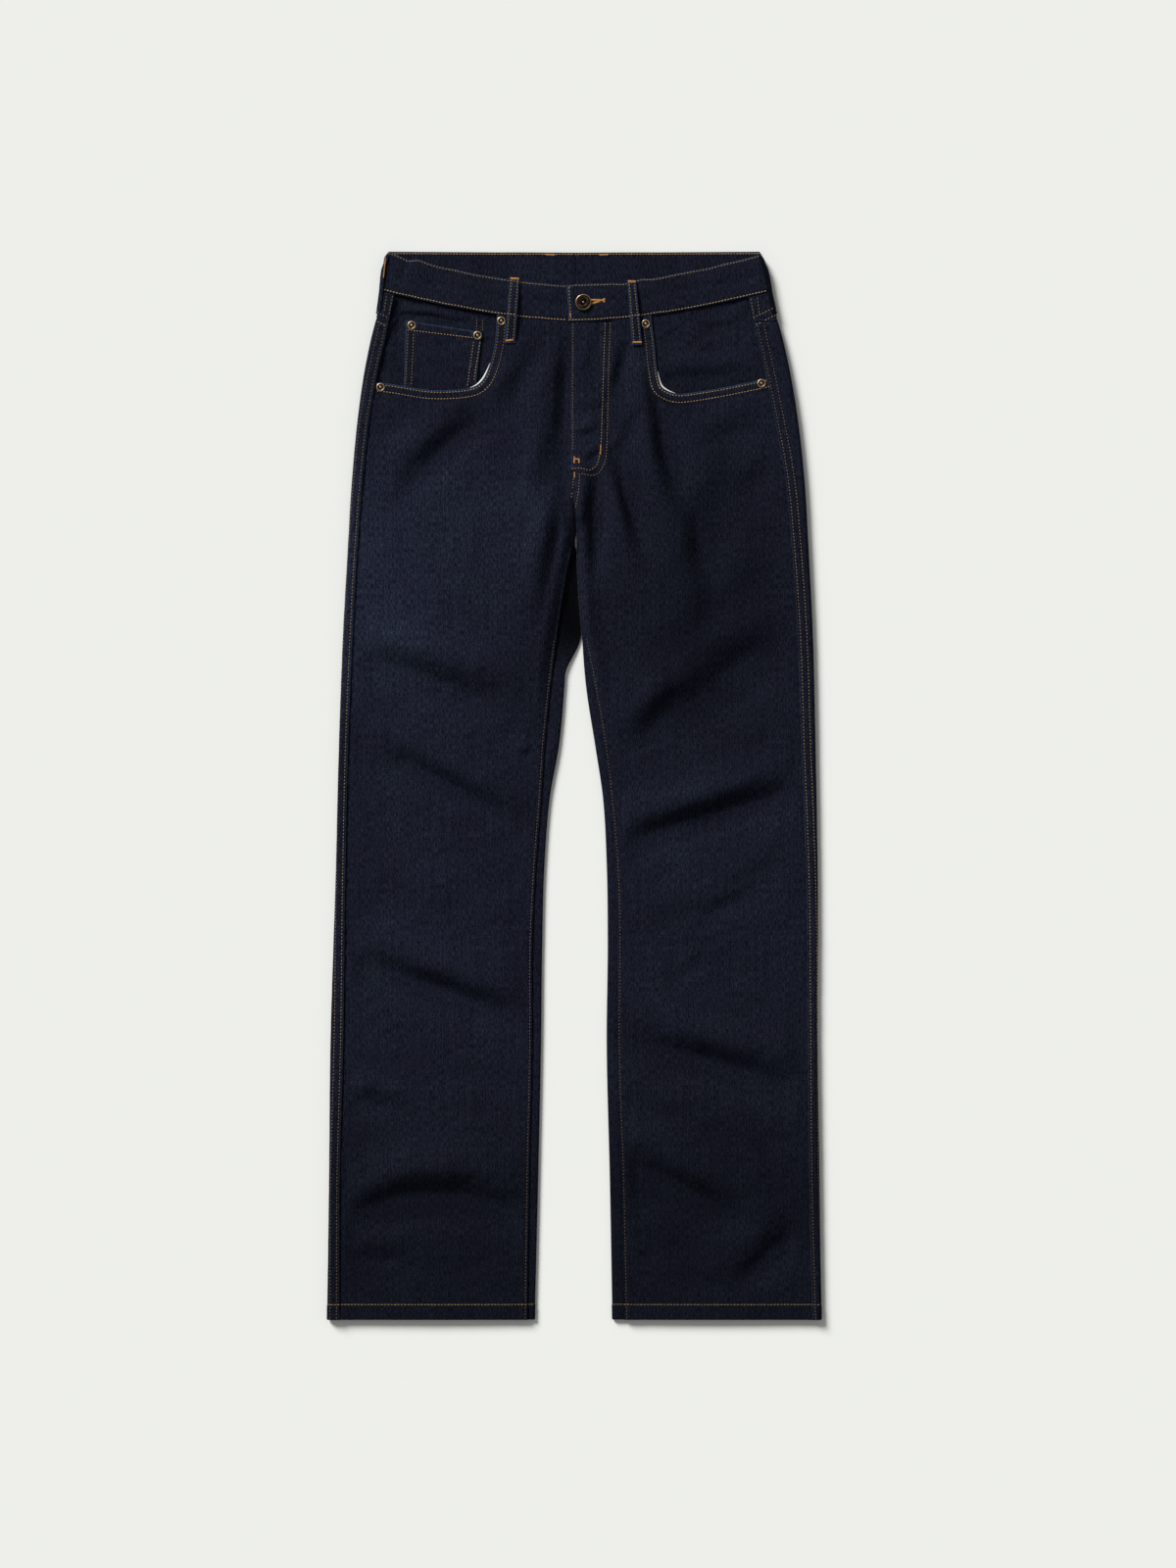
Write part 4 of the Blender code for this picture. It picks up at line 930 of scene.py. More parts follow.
def back_section(side, y):
    """u and z of the back's outer face for the heights y, one column of y for each column here:
    strip over the front, outer fold, floor, inner fold and the flap under the inseam."""
    top = smooth(STACK, "edge", y) + LAYER
    radius = 0.5 * top
    centre = side.outer_fold(y) - radius
    seam = side.outseam(y) + HALF_GAP
    inner_top = front_height(side, side.inseam(y), y) - LAYER
    bend = math.pi * np.interp(y, (FLAP_TOP_Y, CROTCH_Y), (1.0, 0.0))
    safe = np.maximum(bend, 0.01)
    small = (inner_top - np.sin(safe)) / np.maximum(2.0, math.pi / safe * (1.0 - np.cos(safe)))
    curl = math.pi * small / safe
    fold = inner_roll(side, y)
    full_flap = side.inseam(y) + TUCK - fold - small
    flap = 1.0 + (full_flap - 1.0) * ramp((FLAP_TOP_Y - y) / 24.0)
    reach_in = np.where(bend > 0.5 * math.pi, curl, curl * np.sin(safe) + flap * np.cos(safe))
    start = fold + reach_in
    lift = RECESS * seat_lift(y)
    shapes = [(seam + share * (centre - seam), top) for share in STRIP_SHARES]
    shapes += [(centre + radius * math.cos(angle), radius + radius * math.sin(angle))
               for angle in ARC_ANGLES]
    shapes += [(start + share * (centre - start), lift * (share < RAISED_SHARE))
               for share in FLOOR_SHARES]
    for turn in safe * BEND_TURNS[:, None, None]:
        shapes.append((start - curl * np.sin(turn), curl * (1.0 - np.cos(turn)) + lift))
    end_u, end_z = shapes[-1]
    shapes += [(end_u - share * flap * np.cos(safe), end_z + share * flap * np.sin(safe))
               for share in (0.5, 1.0)]
    u, z = (np.stack([shape[axis][:, column] for column, shape in enumerate(shapes)], axis=1)
            for axis in (0, 1))
    return u, z


def column_places():
    """How far along its section each back column is: 0 on the strip, 1 at the outer fold, and
    from there to 2 at the centre back."""
    strip = 0.0 * STRIP_SHARES
    arc = np.linspace(0.0, 1.0, len(ARC_ANGLES))
    floor = 2.0 - np.concatenate([FLOOR_SHARES, np.linspace(0.03, 0.0, len(BEND_TURNS) + 2)])
    return np.concatenate([strip, arc, floor])


def yoke_line():
    """Height of the yoke seam at each back column."""
    levels = (YOKE_Y["seam"], YOKE_Y["fold"], YOKE_Y["centre"])
    return np.interp(column_places(), (0.0, 1.0, 2.0), levels)


def strip_relief(side, u, y, z, seed):
    """Felled outseam: the strip stands proud as far as its second row, with both channels and
    the ripples that they draw in, fading out round the fold."""
    distance = grid_distance(np.stack([u, y, z], axis=-1), ("start",))
    upper = ramp((z - 2.0) / 2.0) * (distance < 40.0)
    relief = 0.3 * ramp((12.0 - distance) / 4.0) + pucker(y, distance, seed, 0.32, 9.0)
    for row in OUTSEAM_ROWS:
        relief = relief + groove(distance - row, 0.3)
    return upper * relief, distance


def back(side):
    """One back panel, from the hem to the yoke seam."""
    columns = len(STRIP_SHARES) + len(ARC_ANGLES) + len(FLOOR_SHARES) + len(BEND_TURNS) + 2
    straight = np.repeat(BACK_ROWS[:, None], columns, axis=1)
    upper = LAP_Y + np.linspace(0.0, 1.0, 51)[1:, None] * (yoke_line() - LAP_Y)
    y = np.vstack([straight, upper])
    u, z = back_section(side, y)
    sunk_and_shaded = ramp((y - 108.0) / 50.0) * ramp((side.inseam(y) - u) / 5.0) * (y < CROTCH_Y)
    lowered = FLOOR_EDGE_Z + (z - FLOOR_EDGE_Z) * (1.0 - 0.95 * sunk_and_shaded)
    z = np.where(z > FLOOR_EDGE_Z, lowered, z)
    relief, distance = strip_relief(side, u, y, z, 41)
    hem = y - HEM_Y
    doubled = 0.4 * ramp((HEM_DEPTH + 1.2 - hem) / 2.0) + groove(hem - HEM_DEPTH, 0.35)
    relief = relief + (z > 2.0) * doubled
    # Painted shade: beside the crotch, where the flap sinks, its cloth is also darkened.
    wear_and_shade = 0.3 * np.exp(-distance / 0.6) - sunk_and_shaded
    piece = cloth("denim_back_" + side.name, side, u, y, z, relief=relief, wear_and_shade=wear_and_shade)
    dress(piece, DENIM_FINISH, "denim", "back_" + side.name)
    return piece


cloth_pieces += [back(side) for side in SIDES]

# ---- Yokes -----------------------------------------------------------------------------------
# The back yokes are denim wedges between the back panels and the waistband, felled to both. Like
# the panels they come round the side fold, so a corner of each shows beside the pockets.


def yoke(side):
    """The same section as the back panel's, from the yoke seam to the waistband's foot."""
    places = column_places()
    strip_foot = band_curve(BAND_FRONT_FOOT, side.sign * (side.outer_fold(500.0) - 6.0))
    seam_foot = band_curve(BAND_FRONT_FOOT, side.sign * side.outseam(500.0))
    foot = np.interp(places, (0.0, 1.0, 2.0), (strip_foot, 506.5, 505.5))
    strip = len(STRIP_SHARES)
    foot[:strip] = seam_foot + STRIP_SHARES * (strip_foot - seam_foot)
    bottom = yoke_line() + 2.5 * SEAM_GAP
    y = bottom + even_steps(30.0, 1.8)[:, None] * (foot - 2 * SEAM_GAP - bottom)
    u, z = back_section(side, y)
    relief, distance = strip_relief(side, u, y, z, 45)
    seam = y - bottom
    relief = relief + (z > 2.0) * (groove(seam - 2.0, 0.25) + 0.3 * ramp((9.0 - seam) / 3.0))
    wear_and_shade = 0.4 * np.exp(-np.minimum(distance, seam) / 0.7)
    piece = cloth("denim_yoke_" + side.name, side, u, y, z, relief=relief, wear_and_shade=wear_and_shade)
    dress(piece, DENIM_FINISH, "denim", "yoke_" + side.name)
    return piece


cloth_pieces += [yoke(side) for side in SIDES]

# ---- Back pockets ----------------------------------------------------------------------------
# Two five-cornered denim patches on the seat, which the jeans lie on. Their sides and feet have
# the channels of two rows, whose thread lies deeper than the cloth's face and does not show.

BACK_POCKET_TOP = ((40.0, 430.0), (176.0, 440.0))
BACK_POCKET_FOOT = ((50.0, 300.0), (110.0, 290.0), (170.0, 308.0))
BACK_POCKET_ROWS = (2.2, 8.4)


def back_pocket(side):
    """A grid from the pointed foot to the straight top, its outer face down on the surface."""
    across = even_steps(130.0, 3.0)
    t = even_steps(135.0, 3.0)[:, None]
    corners = np.array(BACK_POCKET_FOOT)
    knots = (0.0, 0.5, 1.0)
    foot_u, foot_y = (np.interp(across, knots, corners[:, axis]) for axis in (0, 1))
    (in_u, in_y), (out_u, out_y) = BACK_POCKET_TOP
    head_u, head_y = in_u + across * (out_u - in_u), in_y + across * (out_y - in_y)
    u = foot_u + t * (head_u - foot_u)
    y = foot_y + t * (head_y - foot_y)
    z = 0.0 * u
    under = Side(side.name, -side.sign)
    edge = grid_distance(np.stack([u, y, z], axis=-1), ("start", "end", "foot"))
    relief = sum(groove(edge - row, 0.2) for row in BACK_POCKET_ROWS)
    piece = cloth("denim_back_pocket_" + side.name, under, -u, y, z, relief=relief)
    dress(piece, DENIM_FINISH, "denim", "back_pocket_" + side.name)
    return piece


cloth_pieces += [back_pocket(side) for side in SIDES]

# ---- Waistband -------------------------------------------------------------------------------
# A doubled band of denim in two halves, joined at the centre back. Its front dips in the middle
# and is stitched along both edges. The left half laps over the right one at the button.

BAND_WALL = 2.4
BAND_BACK_FOOT = dict(middle=505.5, side=506.5)
BAND_BACK_TOP = dict(middle=543.3, side=544.5)
BAND_FOLD = dict(right=(197.2, 193.6), left=(200.0, 193.0))    # at the foot, at the top
BAND_FRONT_Z = 7.8
BAND_CORNER = 5.0
BAND_EDGE_ROW = 1.7
UNDER_END_X = 26.0      # the right half ends here, under the left one
OVER_END_X = (-5.3, -7.5)                                      # at the foot, at the top
UNDER_SINK = 1.2
OVER_RISE = 1.6
BAND_DENT_LINE = ((168.0, 538.0), (177.0, 512.0))    # where the right half's front is pressed in
BAND_DENT_DEPTH = 0.9
BAND_DENT_WIDTH = 4.0


def band_top(x):
    """Top edge of the waistband's front, which wanders a little and has kinks beside the loops."""
    kinks = ((-170.0, -1.3, 6.0), (-158.0, 1.4, 6.0), (50.0, -0.9, 8.0), (69.0, 0.9, 7.0))
    wander = 0.6 * soft_noise(x / 17.0, 0.0 * x, 51)
    for place, rise, reach in kinks:
        wander = wander + rise * np.exp(-((x - place) / reach) ** 2)
    return band_curve(BAND_FRONT_TOP, x) + wander * ramp((195.0 - np.abs(x)) / 12.0)


def band_height(side, u):
    """Outer face of the waistband's front; at the button the left half lies over the right."""
    if side is RIGHT:
        return BAND_FRONT_Z - UNDER_SINK * ramp((24.0 - u) / 14.0)
    return BAND_FRONT_Z + OVER_RISE * (1.0 - ramp((u - 30.0) / 34.0))


def band_half(side):
    """One half, from the button round the side to the centre back. Each column is a straight line
    from foot to top. The columns follow the front, a half circle round the side fold and the
    back. Swelling, stitches and puckers are on the front only."""
    foot_fold, top_fold = BAND_FOLD[side.name]
    radius = 0.5 * BAND_FRONT_Z
    rows = even_steps(37.0, 1.9)[:, None]
    fold = foot_fold + rows * (top_fold - foot_fold)
    end = (-UNDER_END_X, -UNDER_END_X) if side is RIGHT else OVER_END_X
    first = end[0] + rows * (end[1] - end[0])
    reach = np.append(EDGE_STEPS, np.arange(2.0, foot_fold - radius - 8.0 - first.max(), 2.0))
    slant = np.clip(1.0 - reach / 40.0, 0.0, 1.0)
    front_u = first.mean() + (first - first.mean()) * slant + reach
    front_x = side.sign * front_u
    foot = band_curve(BAND_FRONT_FOOT, front_x)
    top = band_top(front_x)
    front_y = foot + rows * (top - foot)
    front_z = band_height(side, front_u)

    angles = np.radians(np.linspace(90.0, -90.0, 19))
    turn = (0.5 * math.pi - angles) / math.pi
    arc_u = fold - radius + radius * np.cos(angles)
    arc_z = np.repeat((radius + radius * np.sin(angles))[None, :], len(rows), axis=0)
    fold_foot = band_curve(BAND_FRONT_FOOT, side.sign * (fold - radius))
    fold_top = band_curve(BAND_FRONT_TOP, side.sign * (fold - radius))
    arc_foot = fold_foot + turn * (BAND_BACK_FOOT["side"] - fold_foot)
    arc_top = fold_top + turn * (BAND_BACK_TOP["side"] - fold_top)
    arc_top = arc_top - BAND_CORNER * np.cos(angles)
    arc_y = arc_foot + rows * (arc_top - arc_foot)

    centre = side.sign * CENTRE_BACK_X + 0.02
    stations = np.append(np.arange(foot_fold - radius - 8.0, centre + 2.0, -4.0),
                         centre + EDGE_STEPS[::-1])
    back_u = np.repeat(stations[None, :], len(rows), axis=0)
    share = (back_u - centre) / (foot_fold - radius - centre)
    back_foot = BAND_BACK_FOOT["middle"] + share * (BAND_BACK_FOOT["side"] - BAND_BACK_FOOT["middle"])
    back_top = BAND_BACK_TOP["middle"] + share * (BAND_BACK_TOP["side"] - BAND_BACK_TOP["middle"])
    back_y = back_foot + rows * (back_top - back_foot)
    back_z = RECESS * (1.0 - ramp((np.abs(side.sign * back_u - BAND_MIDDLE_X) - 50.0) / 40.0))

    u = np.hstack([front_u, arc_u, back_u])
    y = np.hstack([front_y, arc_y, back_y])
    z = np.hstack([front_z, arc_z, back_z])
    edge = grid_distance(np.stack([u, y, z], axis=-1), ("foot", "top"))
    front_face = np.hstack([np.ones_like(front_u), arc_z > radius, np.zeros_like(back_u)])
    swell = 0.35 * np.sin(math.pi * np.clip(edge / 18.0, 0.0, 1.0)) ** 0.5
    swell = swell + 0.45 * soft_noise(u / 22.0, y / 14.0, 53 + (side is LEFT))
    if side is RIGHT:
        swell = swell + groove(line_distance(u, y, BAND_DENT_LINE), BAND_DENT_DEPTH, BAND_DENT_WIDTH)
    relief = front_face * (swell + groove(edge - BAND_EDGE_ROW, 0.3) + pucker(u, edge, 55, 0.2))
    wear_and_shade = np.exp(-edge / 0.6) * 0.6
    if side is LEFT:
        end_distance = grid_distance(np.stack([u, y, z], axis=-1), ("start",))
        relief = relief + groove(end_distance - 2.0)
        wear_and_shade = np.maximum(wear_and_shade, np.exp(-end_distance / 0.8))
    piece = cloth("denim_waistband_" + side.name, side, u, y, z, BAND_WALL, relief=relief, wear_and_shade=wear_and_shade)
    dress(piece, DENIM_FINISH, "denim", "waistband_" + side.name)
    return piece


cloth_pieces += [band_half(side) for side in SIDES]

# ---- Belt loops ------------------------------------------------------------------------------
# Six loops of denim with two channels each; only the front ones have thread in them. Those two
# arch over the waistband, the side ones lie round the fold, and the back ones lie flat underneath.

FRONT_LOOPS = dict(
    right=dict(top=(55.6, 65.4, 517.0), foot=(60.2, 70.5, 450.0)),
    left=dict(top=(54.2, 62.6, 514.5), foot=(59.0, 69.0, 448.2)),
)
LOOP_LIFT = 0.5         # how much more than a layer a front loop's ends stand off
LOOP_ARCH = 2.28        # and how much higher its middle is
SIDE_LOOP_DRAW = 2.1    # how far a side loop's top is drawn in
BACK_LOOP_Z = 0.45
LOOP_WIDTH = 11.0
LOOP_ROW = 2.2
SIDE_LOOP_Y = (481.0, 540.0)
SIDE_LOOP_TURN = dict(right=(76.0, -40.0), left=(90.0, -40.0))    # from the front to the back
SIDE_LOOP_SHADE = dict(right=-0.15, left=-0.6)                     # painted shade on both, darker on the left one
BACK_LOOPS = dict(right=-24.0, left=30.0)
BACK_LOOP_Y = (478.0, 543.0)
LOOP_ACROSS = even_steps(10.0, 1.0)
LOOP_ALONG = even_steps(66.0, 1.6)[:, None]


def loop_relief(points):
    """Two channels, a thick fold along the middle and small ripples."""
    edge = grid_distance(points, ("start", "end"))
    ends = grid_distance(points, ("foot", "top"))
    relief = groove(edge - LOOP_ROW, 0.3) + 0.2 * ramp((edge - LOOP_ROW) / 1.5)
    return relief + pucker(points[..., 1], edge, 61, 0.15) + groove(ends - 3.0, 0.35, 1.2)


def belt_loop(name, side, u, y, z, *nodes, wear_and_shade=None):
    """One loop from its grid."""
    points = np.stack([u, y, z], axis=-1)
    piece = cloth("denim_loop_" + name, side, u, y, z, relief=loop_relief(points), wear_and_shade=wear_and_shade)
    dress(piece, DENIM_FINISH, "denim", *nodes)
    return piece


def front_loop(side):
    """Straight from foot to top, over the higher of the front and the waistband, with an arch of
    a half sine."""
    shape = FRONT_LOOPS[side.name]
    head, foot = np.array(shape["top"]), np.array(shape["foot"])
    line = foot + LOOP_ALONG * (head - foot)
    u = line[:, :1] + LOOP_ACROSS * (line[:, 1:2] - line[:, :1])
    y = np.repeat(line[:, 2:], len(LOOP_ACROSS), axis=1)
    under = np.maximum(front_height(side, u, y), band_height(side, u)).max(axis=1, keepdims=True)
    z = under + LAYER + LOOP_LIFT + LOOP_ARCH * np.sin(math.pi * LOOP_ALONG)
    z = np.repeat(z, len(LOOP_ACROSS), axis=1)
    return belt_loop("front_" + side.name, side, u, y, z, "belt_loop_front_" + side.name)


def side_loop(side):
    """An arc a layer outside the fold's, swept up along the waistband's slant."""
    low, high = SIDE_LOOP_Y
    y = low + LOOP_ALONG * (high - low)
    front_turn, back_turn = SIDE_LOOP_TURN[side.name]
    turn = np.radians(front_turn + LOOP_ACROSS * (back_turn - front_turn))
    foot_fold, top_fold = BAND_FOLD[side.name]
    foot_y, top_y = BAND_BACK_FOOT["side"], BAND_BACK_TOP["side"]
    on_band = foot_fold + (y - foot_y) / (top_y - foot_y) * (top_fold - foot_fold)
    fold = np.where(y > foot_y, on_band, side.outer_fold(y))
    under = 0.5 * (STACK["edge"][-1] + LAYER)
    radius = under + LAYER
    u = fold - under + radius * np.cos(turn)
    u = u - SIDE_LOOP_DRAW * ramp((y - 526.0) / 14.0)
    z = under + radius * np.sin(turn) + 0.0 * y
    y = y - 4.0 * np.cos(turn) ** 2 * ramp((y - 515.0) / 25.0)
    return belt_loop("side_" + side.name, side, u, y, z, "belt_loop_side_" + side.name,
                     wear_and_shade=SIDE_LOOP_SHADE[side.name])


def back_loop(side):
    """A flat strip, its outer face down."""
    low, high = BACK_LOOP_Y
    x = BACK_LOOPS[side.name]
    y = low + LOOP_ALONG * (high - low) + 0.0 * LOOP_ACROSS
    u = x + LOOP_WIDTH * (LOOP_ACROSS - 0.5) + 0.0 * y
    under = Side(side.name, -1.0)
    z = BACK_LOOP_Z + 0.0 * u
    return belt_loop("back_" + side.name, under, -u, y, z, "belt_loop_back_" + side.name)


for shape_loop in (front_loop, side_loop, back_loop):
    cloth_pieces += [shape_loop(side) for side in SIDES]

# ---- Topstitching ----------------------------------------------------------------------------
# Thick polyester-cotton thread, about eight stitches to 27 mm, in tan along the seams, in amber at
# the hems and inside the waistband. Each stitch is its own short arc that dips into the cloth.
# Each row carries painted light and shade: most rows that run down the garment are painted darker than
# the ones across it.

STITCH_PITCH = 3.4
STITCH_LENGTH = 2.2
THREAD_RADIUS = 0.42
UNDERSIDE_SINK = 0.55   # stitches on the underside lie this deep
TAN = (0.43, 0.285, 0.14)
COPPER = (0.52, 0.235, 0.062)
AMBER = (0.48, 0.29, 0.11)


def thread(name, colour):
    """Twisted thread: fine diagonal bands, and a shade for each stitch: a random tone of its own times
    the painted light and shade of its row.
    """
    material, tree, surface = new_material(name, Roughness=0.7, Specular_IOR_Level=0.2)
    place = node(tree, "TexCoord").outputs["Object"]
    turned = node(tree, "Mapping", {"Vector": place, "Rotation": (0.0, 0.0, math.radians(38.0))})
    twist = node(tree, "TexWave", {"Vector": turned.outputs["Vector"], "Scale": 700.0}).outputs["Fac"]
    shade = node(tree, "Attribute", attribute_name="shade").outputs["Fac"]
    tone = node(tree, "Math", {0: twist, 1: 0.35, 2: shade}, operation="MULTIPLY_ADD").outputs[0]
    dark = tuple(0.08 * part for part in colour)
    tint = colour_ramp(tree, tone, (0.0, dark), (1.0, colour))
    show(tree, surface, tint, twist, 0.5, 0.0001)
    return material


TAN_THREAD = thread("tan_thread", TAN)
COPPER_THREAD = thread("copper_thread", COPPER)
AMBER_THREAD = thread("amber_thread", AMBER)


def surface_tree(pieces):
    """One search tree over the faces of all the cloth."""
    points, faces = [], []
    for piece in pieces:
        mesh = piece.data
        place = np.empty(3 * len(mesh.vertices), dtype=np.float32)
        mesh.vertices.foreach_get("co", place)
        corner = np.empty(len(mesh.loops), dtype=np.int32)
        mesh.loops.foreach_get("vertex_index", corner)
        faces.append(corner.reshape(-1, 4) + sum(len(part) for part in points))
        points.append(place.reshape(-1, 3))
    return BVHTree.FromPolygons(np.vstack(points).tolist(), np.vstack(faces).tolist())


laid_cloth = surface_tree(cloth_pieces)


def laid(x, y, below=False):
    """Points and normals where the places (x, y) meet the cloth, seen from above or below, and
    which of the places do. Below, the points are sunk into the cloth, so that no thread goes
    under its lowest face. The cloth then covers those stitches, and they do not show."""
    start, way = (-0.02, 1.0) if below else (0.05, -1.0)
    hits = [laid_cloth.ray_cast(Vector((a * MM, b * MM, start)), Vector((0.0, 0.0, way)))
            for a, b in zip(x, y)]
    found = np.array([hit[0] is not None for hit in hits])
    hits = [(tuple(hit[0]), tuple(hit[1])) for hit in hits if hit[0] is not None]
    points, normals = np.moveaxis(np.array(hits), 1, 0)
    normals = normals * np.sign(normals[:, 2:]) * (-1.0 if below else 1.0)
    return points / MM - UNDERSIDE_SINK * below * normals, normals, found


def resample(points, pitch):
    """Even places along a drawn line, a pitch apart, with a smooth curve through its points."""
    points = np.array(points, dtype=float)
    if len(points) > 2:
        t = np.linspace(0.0, 1.0, 40 * len(points))
        x, y = along_curve(dict(u=points[:, 0], y=points[:, 1]), t)
    else:
        x, y = points.T
    reach = np.append(0.0, np.hypot(np.diff(x), np.diff(y)).cumsum())
    places = np.arange(0.5 * pitch, reach[-1], pitch)
    return np.interp(places, reach, x), np.interp(places, reach, y)


CAPSULE_SIDES = 6
CAPSULE_RINGS = table("place share", (-1.0, 0.25), (-0.55, 0.95), (0.0, 1.0), (0.55, 0.95),
                      (1.0, 0.25))


def stitches(points, heading, normals, length, radius, seed, painted_light):
    """Verts and faces of one capsule for each point: rings of six round an axis along the
    heading, closed at both ends. With s from -1 to 1 along the stitch, each ring's middle is
    radius * (0.55 - 1.05 * s * s) above the cloth."""
    s, share = CAPSULE_RINGS["place"], CAPSULE_RINGS["share"]
    turn = np.arange(CAPSULE_SIDES) * math.tau / CAPSULE_SIDES
    heading = heading / np.linalg.norm(heading, axis=1, keepdims=True)
    aside = np.cross(normals, heading)
    random = np.random.default_rng(seed)
    length = length * random.uniform(0.9, 1.06, len(points))
    skew = random.normal(0.0, 0.05, (len(points), 1))
    heading = heading + skew * aside
    ring = radius * share[:, None]
    out_aside = ring * np.cos(turn)
    out_up = 0.8 * ring * np.sin(turn) + radius * (0.55 - 1.05 * s[:, None] ** 2)
    along = 0.5 * length[:, None, None, None] * s[:, None, None] * heading[:, None, None]
    verts = (points[:, None, None] + along + out_aside[..., None] * aside[:, None, None]
             + out_up[..., None] * normals[:, None, None])
    count = len(s) * CAPSULE_SIDES
    index = np.arange(count).reshape(len(s), CAPSULE_SIDES)
    after = np.roll(index, -1, axis=1)
    sides = np.stack([index[:-1], after[:-1], after[1:], index[1:]], axis=-1).reshape(-1, 4)
    one = [tuple(face) for face in sides] + [tuple(index[0, ::-1]), tuple(index[-1])]
    # Painted light and shade: each stitch's shade is its row's painted light times a random tone.
    shade = painted_light * random.uniform(0.45, 0.9, len(points))
    return verts.reshape(-1, 3), one, count, np.repeat(shade, count)


def sew(name, material, rows, pitch=STITCH_PITCH, length=STITCH_LENGTH, radius=THREAD_RADIUS,
        below=False, across=False, seed=71, painted_light=1.0):
    """Lays stitches along each drawn row, on whatever cloth is there, and joins them in one
    piece. Across turns each stitch a quarter, as in a bar tack or a buttonhole. Painted_light is
    the painted light and shade on the thread: one for all, one for each row, or a function of the
    height y."""
    points, headings, normals, shades = [], [], [], []
    for count, row in enumerate(rows):
        x, y = resample(row, pitch)
        place, normal, found = laid(x, y, below)
        step = np.column_stack([np.gradient(x), np.gradient(y), 0.0 * x])[found]
        if across:
            step = np.column_stack([-step[:, 1], step[:, 0], step[:, 2]])
        step = step - (step * normal).sum(axis=1, keepdims=True) * normal
        points.append(place)
        headings.append(step)
        normals.append(normal)
        glow = painted_light(place[:, 1]) if callable(painted_light) else np.broadcast_to(painted_light, len(rows))[count]
        shades.append(glow + 0.0 * place[:, 1])
    painted_light = np.concatenate(shades)
    verts, one, count, shade = stitches(*(np.vstack(part) for part in (points, headings, normals)),
                                        length, radius, seed, painted_light)
    faces = [tuple(corner + base for corner in face)
             for base in range(0, len(verts), count) for face in one]
    piece = shaped(name, verts, faces)
    mark(piece, "shade", shade)
    dress(piece, material, None)
    return piece


def x_row(side, u, y):
    """A row at distances u from the middle line, as (x, y) points."""
    return np.column_stack([side.sign * u, y])


def edge_row(height, low, high, offset):
    """A row that follows an edge of the waistband's front, moved up by the offset."""
    x = np.linspace(low, high, 60)
    return np.column_stack([x, height(x) + offset])


def band_foot(x):
    """Foot of the waistband's front, where the stitches wander a little."""
    return band_curve(BAND_FRONT_FOOT, x) + 0.35 * soft_noise(x / 12.0, 0.0 * x, 57)


def outseam_shade(y):
    """Painted light and shade on the outseam's thread: darker towards the hem and beside the pockets.
    """
    return np.interp(y, (-420.0, -250.0, 260.0, 400.0), (0.14, 0.66, 0.62, 0.14))


def inseam_shade(y):
    """Painted light and shade on the inseam's thread: darker towards the hem."""
    return np.interp(y, (-330.0, -200.0, 80.0), (0.16, 0.38, 0.2))


def mouth_shade(y):
    """Painted light and shade on the thread along a pocket's mouth: darker on the upright side."""
    return np.interp(y, (412.0, 430.0), (0.82, 0.16))


for side in SIDES:
    leg = np.linspace(HEM_Y + 0.5, YOKE_Y["seam"] - 3.0, 60)
    sew("thread_outseam_" + side.name, TAN_THREAD,
        [x_row(side, side.outseam(leg) + row, leg) for row in OUTSEAM_ROWS], length=2.0,
        radius=0.35, painted_light=outseam_shade)
    inside = np.linspace(HEM_Y + 0.5, 150.0, 40)
    sew("thread_inseam_" + side.name, TAN_THREAD,
        [x_row(side, side.inseam(inside) + INSEAM_ROW, inside)], length=1.9, radius=0.28, seed=72,
        painted_light=inseam_shade)
    sew("thread_mouth_" + side.name, TAN_THREAD,
        [mouth_line(side, row, 0.04, 0.955) * (side.sign, 1.0) for row in MOUTH_ROWS], pitch=3.1,
        seed=73, painted_light=mouth_shade)
    hem = np.linspace(side.inner_fold(HEM_Y) + 0.8, side.outer_fold(HEM_Y) - 0.8, 8)
    sew("thread_hem_" + side.name, AMBER_THREAD,
        [x_row(side, hem, HEM_Y + HEM_DEPTH + 0.0 * hem)], length=3.0, radius=0.36, seed=74,
        painted_light=0.4 if side is RIGHT else 0.26)

BAND_ENDS = dict(right=(-8.5, -193.5), left=(-6.0, 195.0))
for side in SIDES:
    low, high = BAND_ENDS[side.name]
    sew("thread_band_" + side.name, TAN_THREAD,
        [edge_row(band_top, low, high * 0.985, -BAND_EDGE_ROW),
         edge_row(band_foot, low, high, BAND_EDGE_ROW)], pitch=3.2, length=2.4, radius=0.46, seed=75,
        painted_light=(0.38, 1.1 if side is RIGHT else 0.88))
sew("thread_band_end", TAN_THREAD, [((-5.3, 508.0), (-3.2, 475.5))], seed=76, painted_light=0.5)
sew("thread_band_inside", AMBER_THREAD,
    [((-190.0, 542.3), (0.0, 541.4)), ((0.0, 541.4), (190.0, 542.3))],
    pitch=3.0, length=2.7, seed=77, painted_light=0.8)
sew("thread_fly", TAN_THREAD,
    [FLY_INNER_ROW, FLY_OUTER_ROW, ((-1.2, 470.5), (-1.3, 400.0), (-1.1, 341.5)),
     ((-0.5, 313.5), (-2.7, 293.5)), ((5.7, 317.8), (4.2, 297.0), (1.0, 281.5))],
    pitch=3.0, length=2.0, radius=0.38, seed=78, painted_light=(0.58, 0.26, 0.1, 0.36, 0.36))
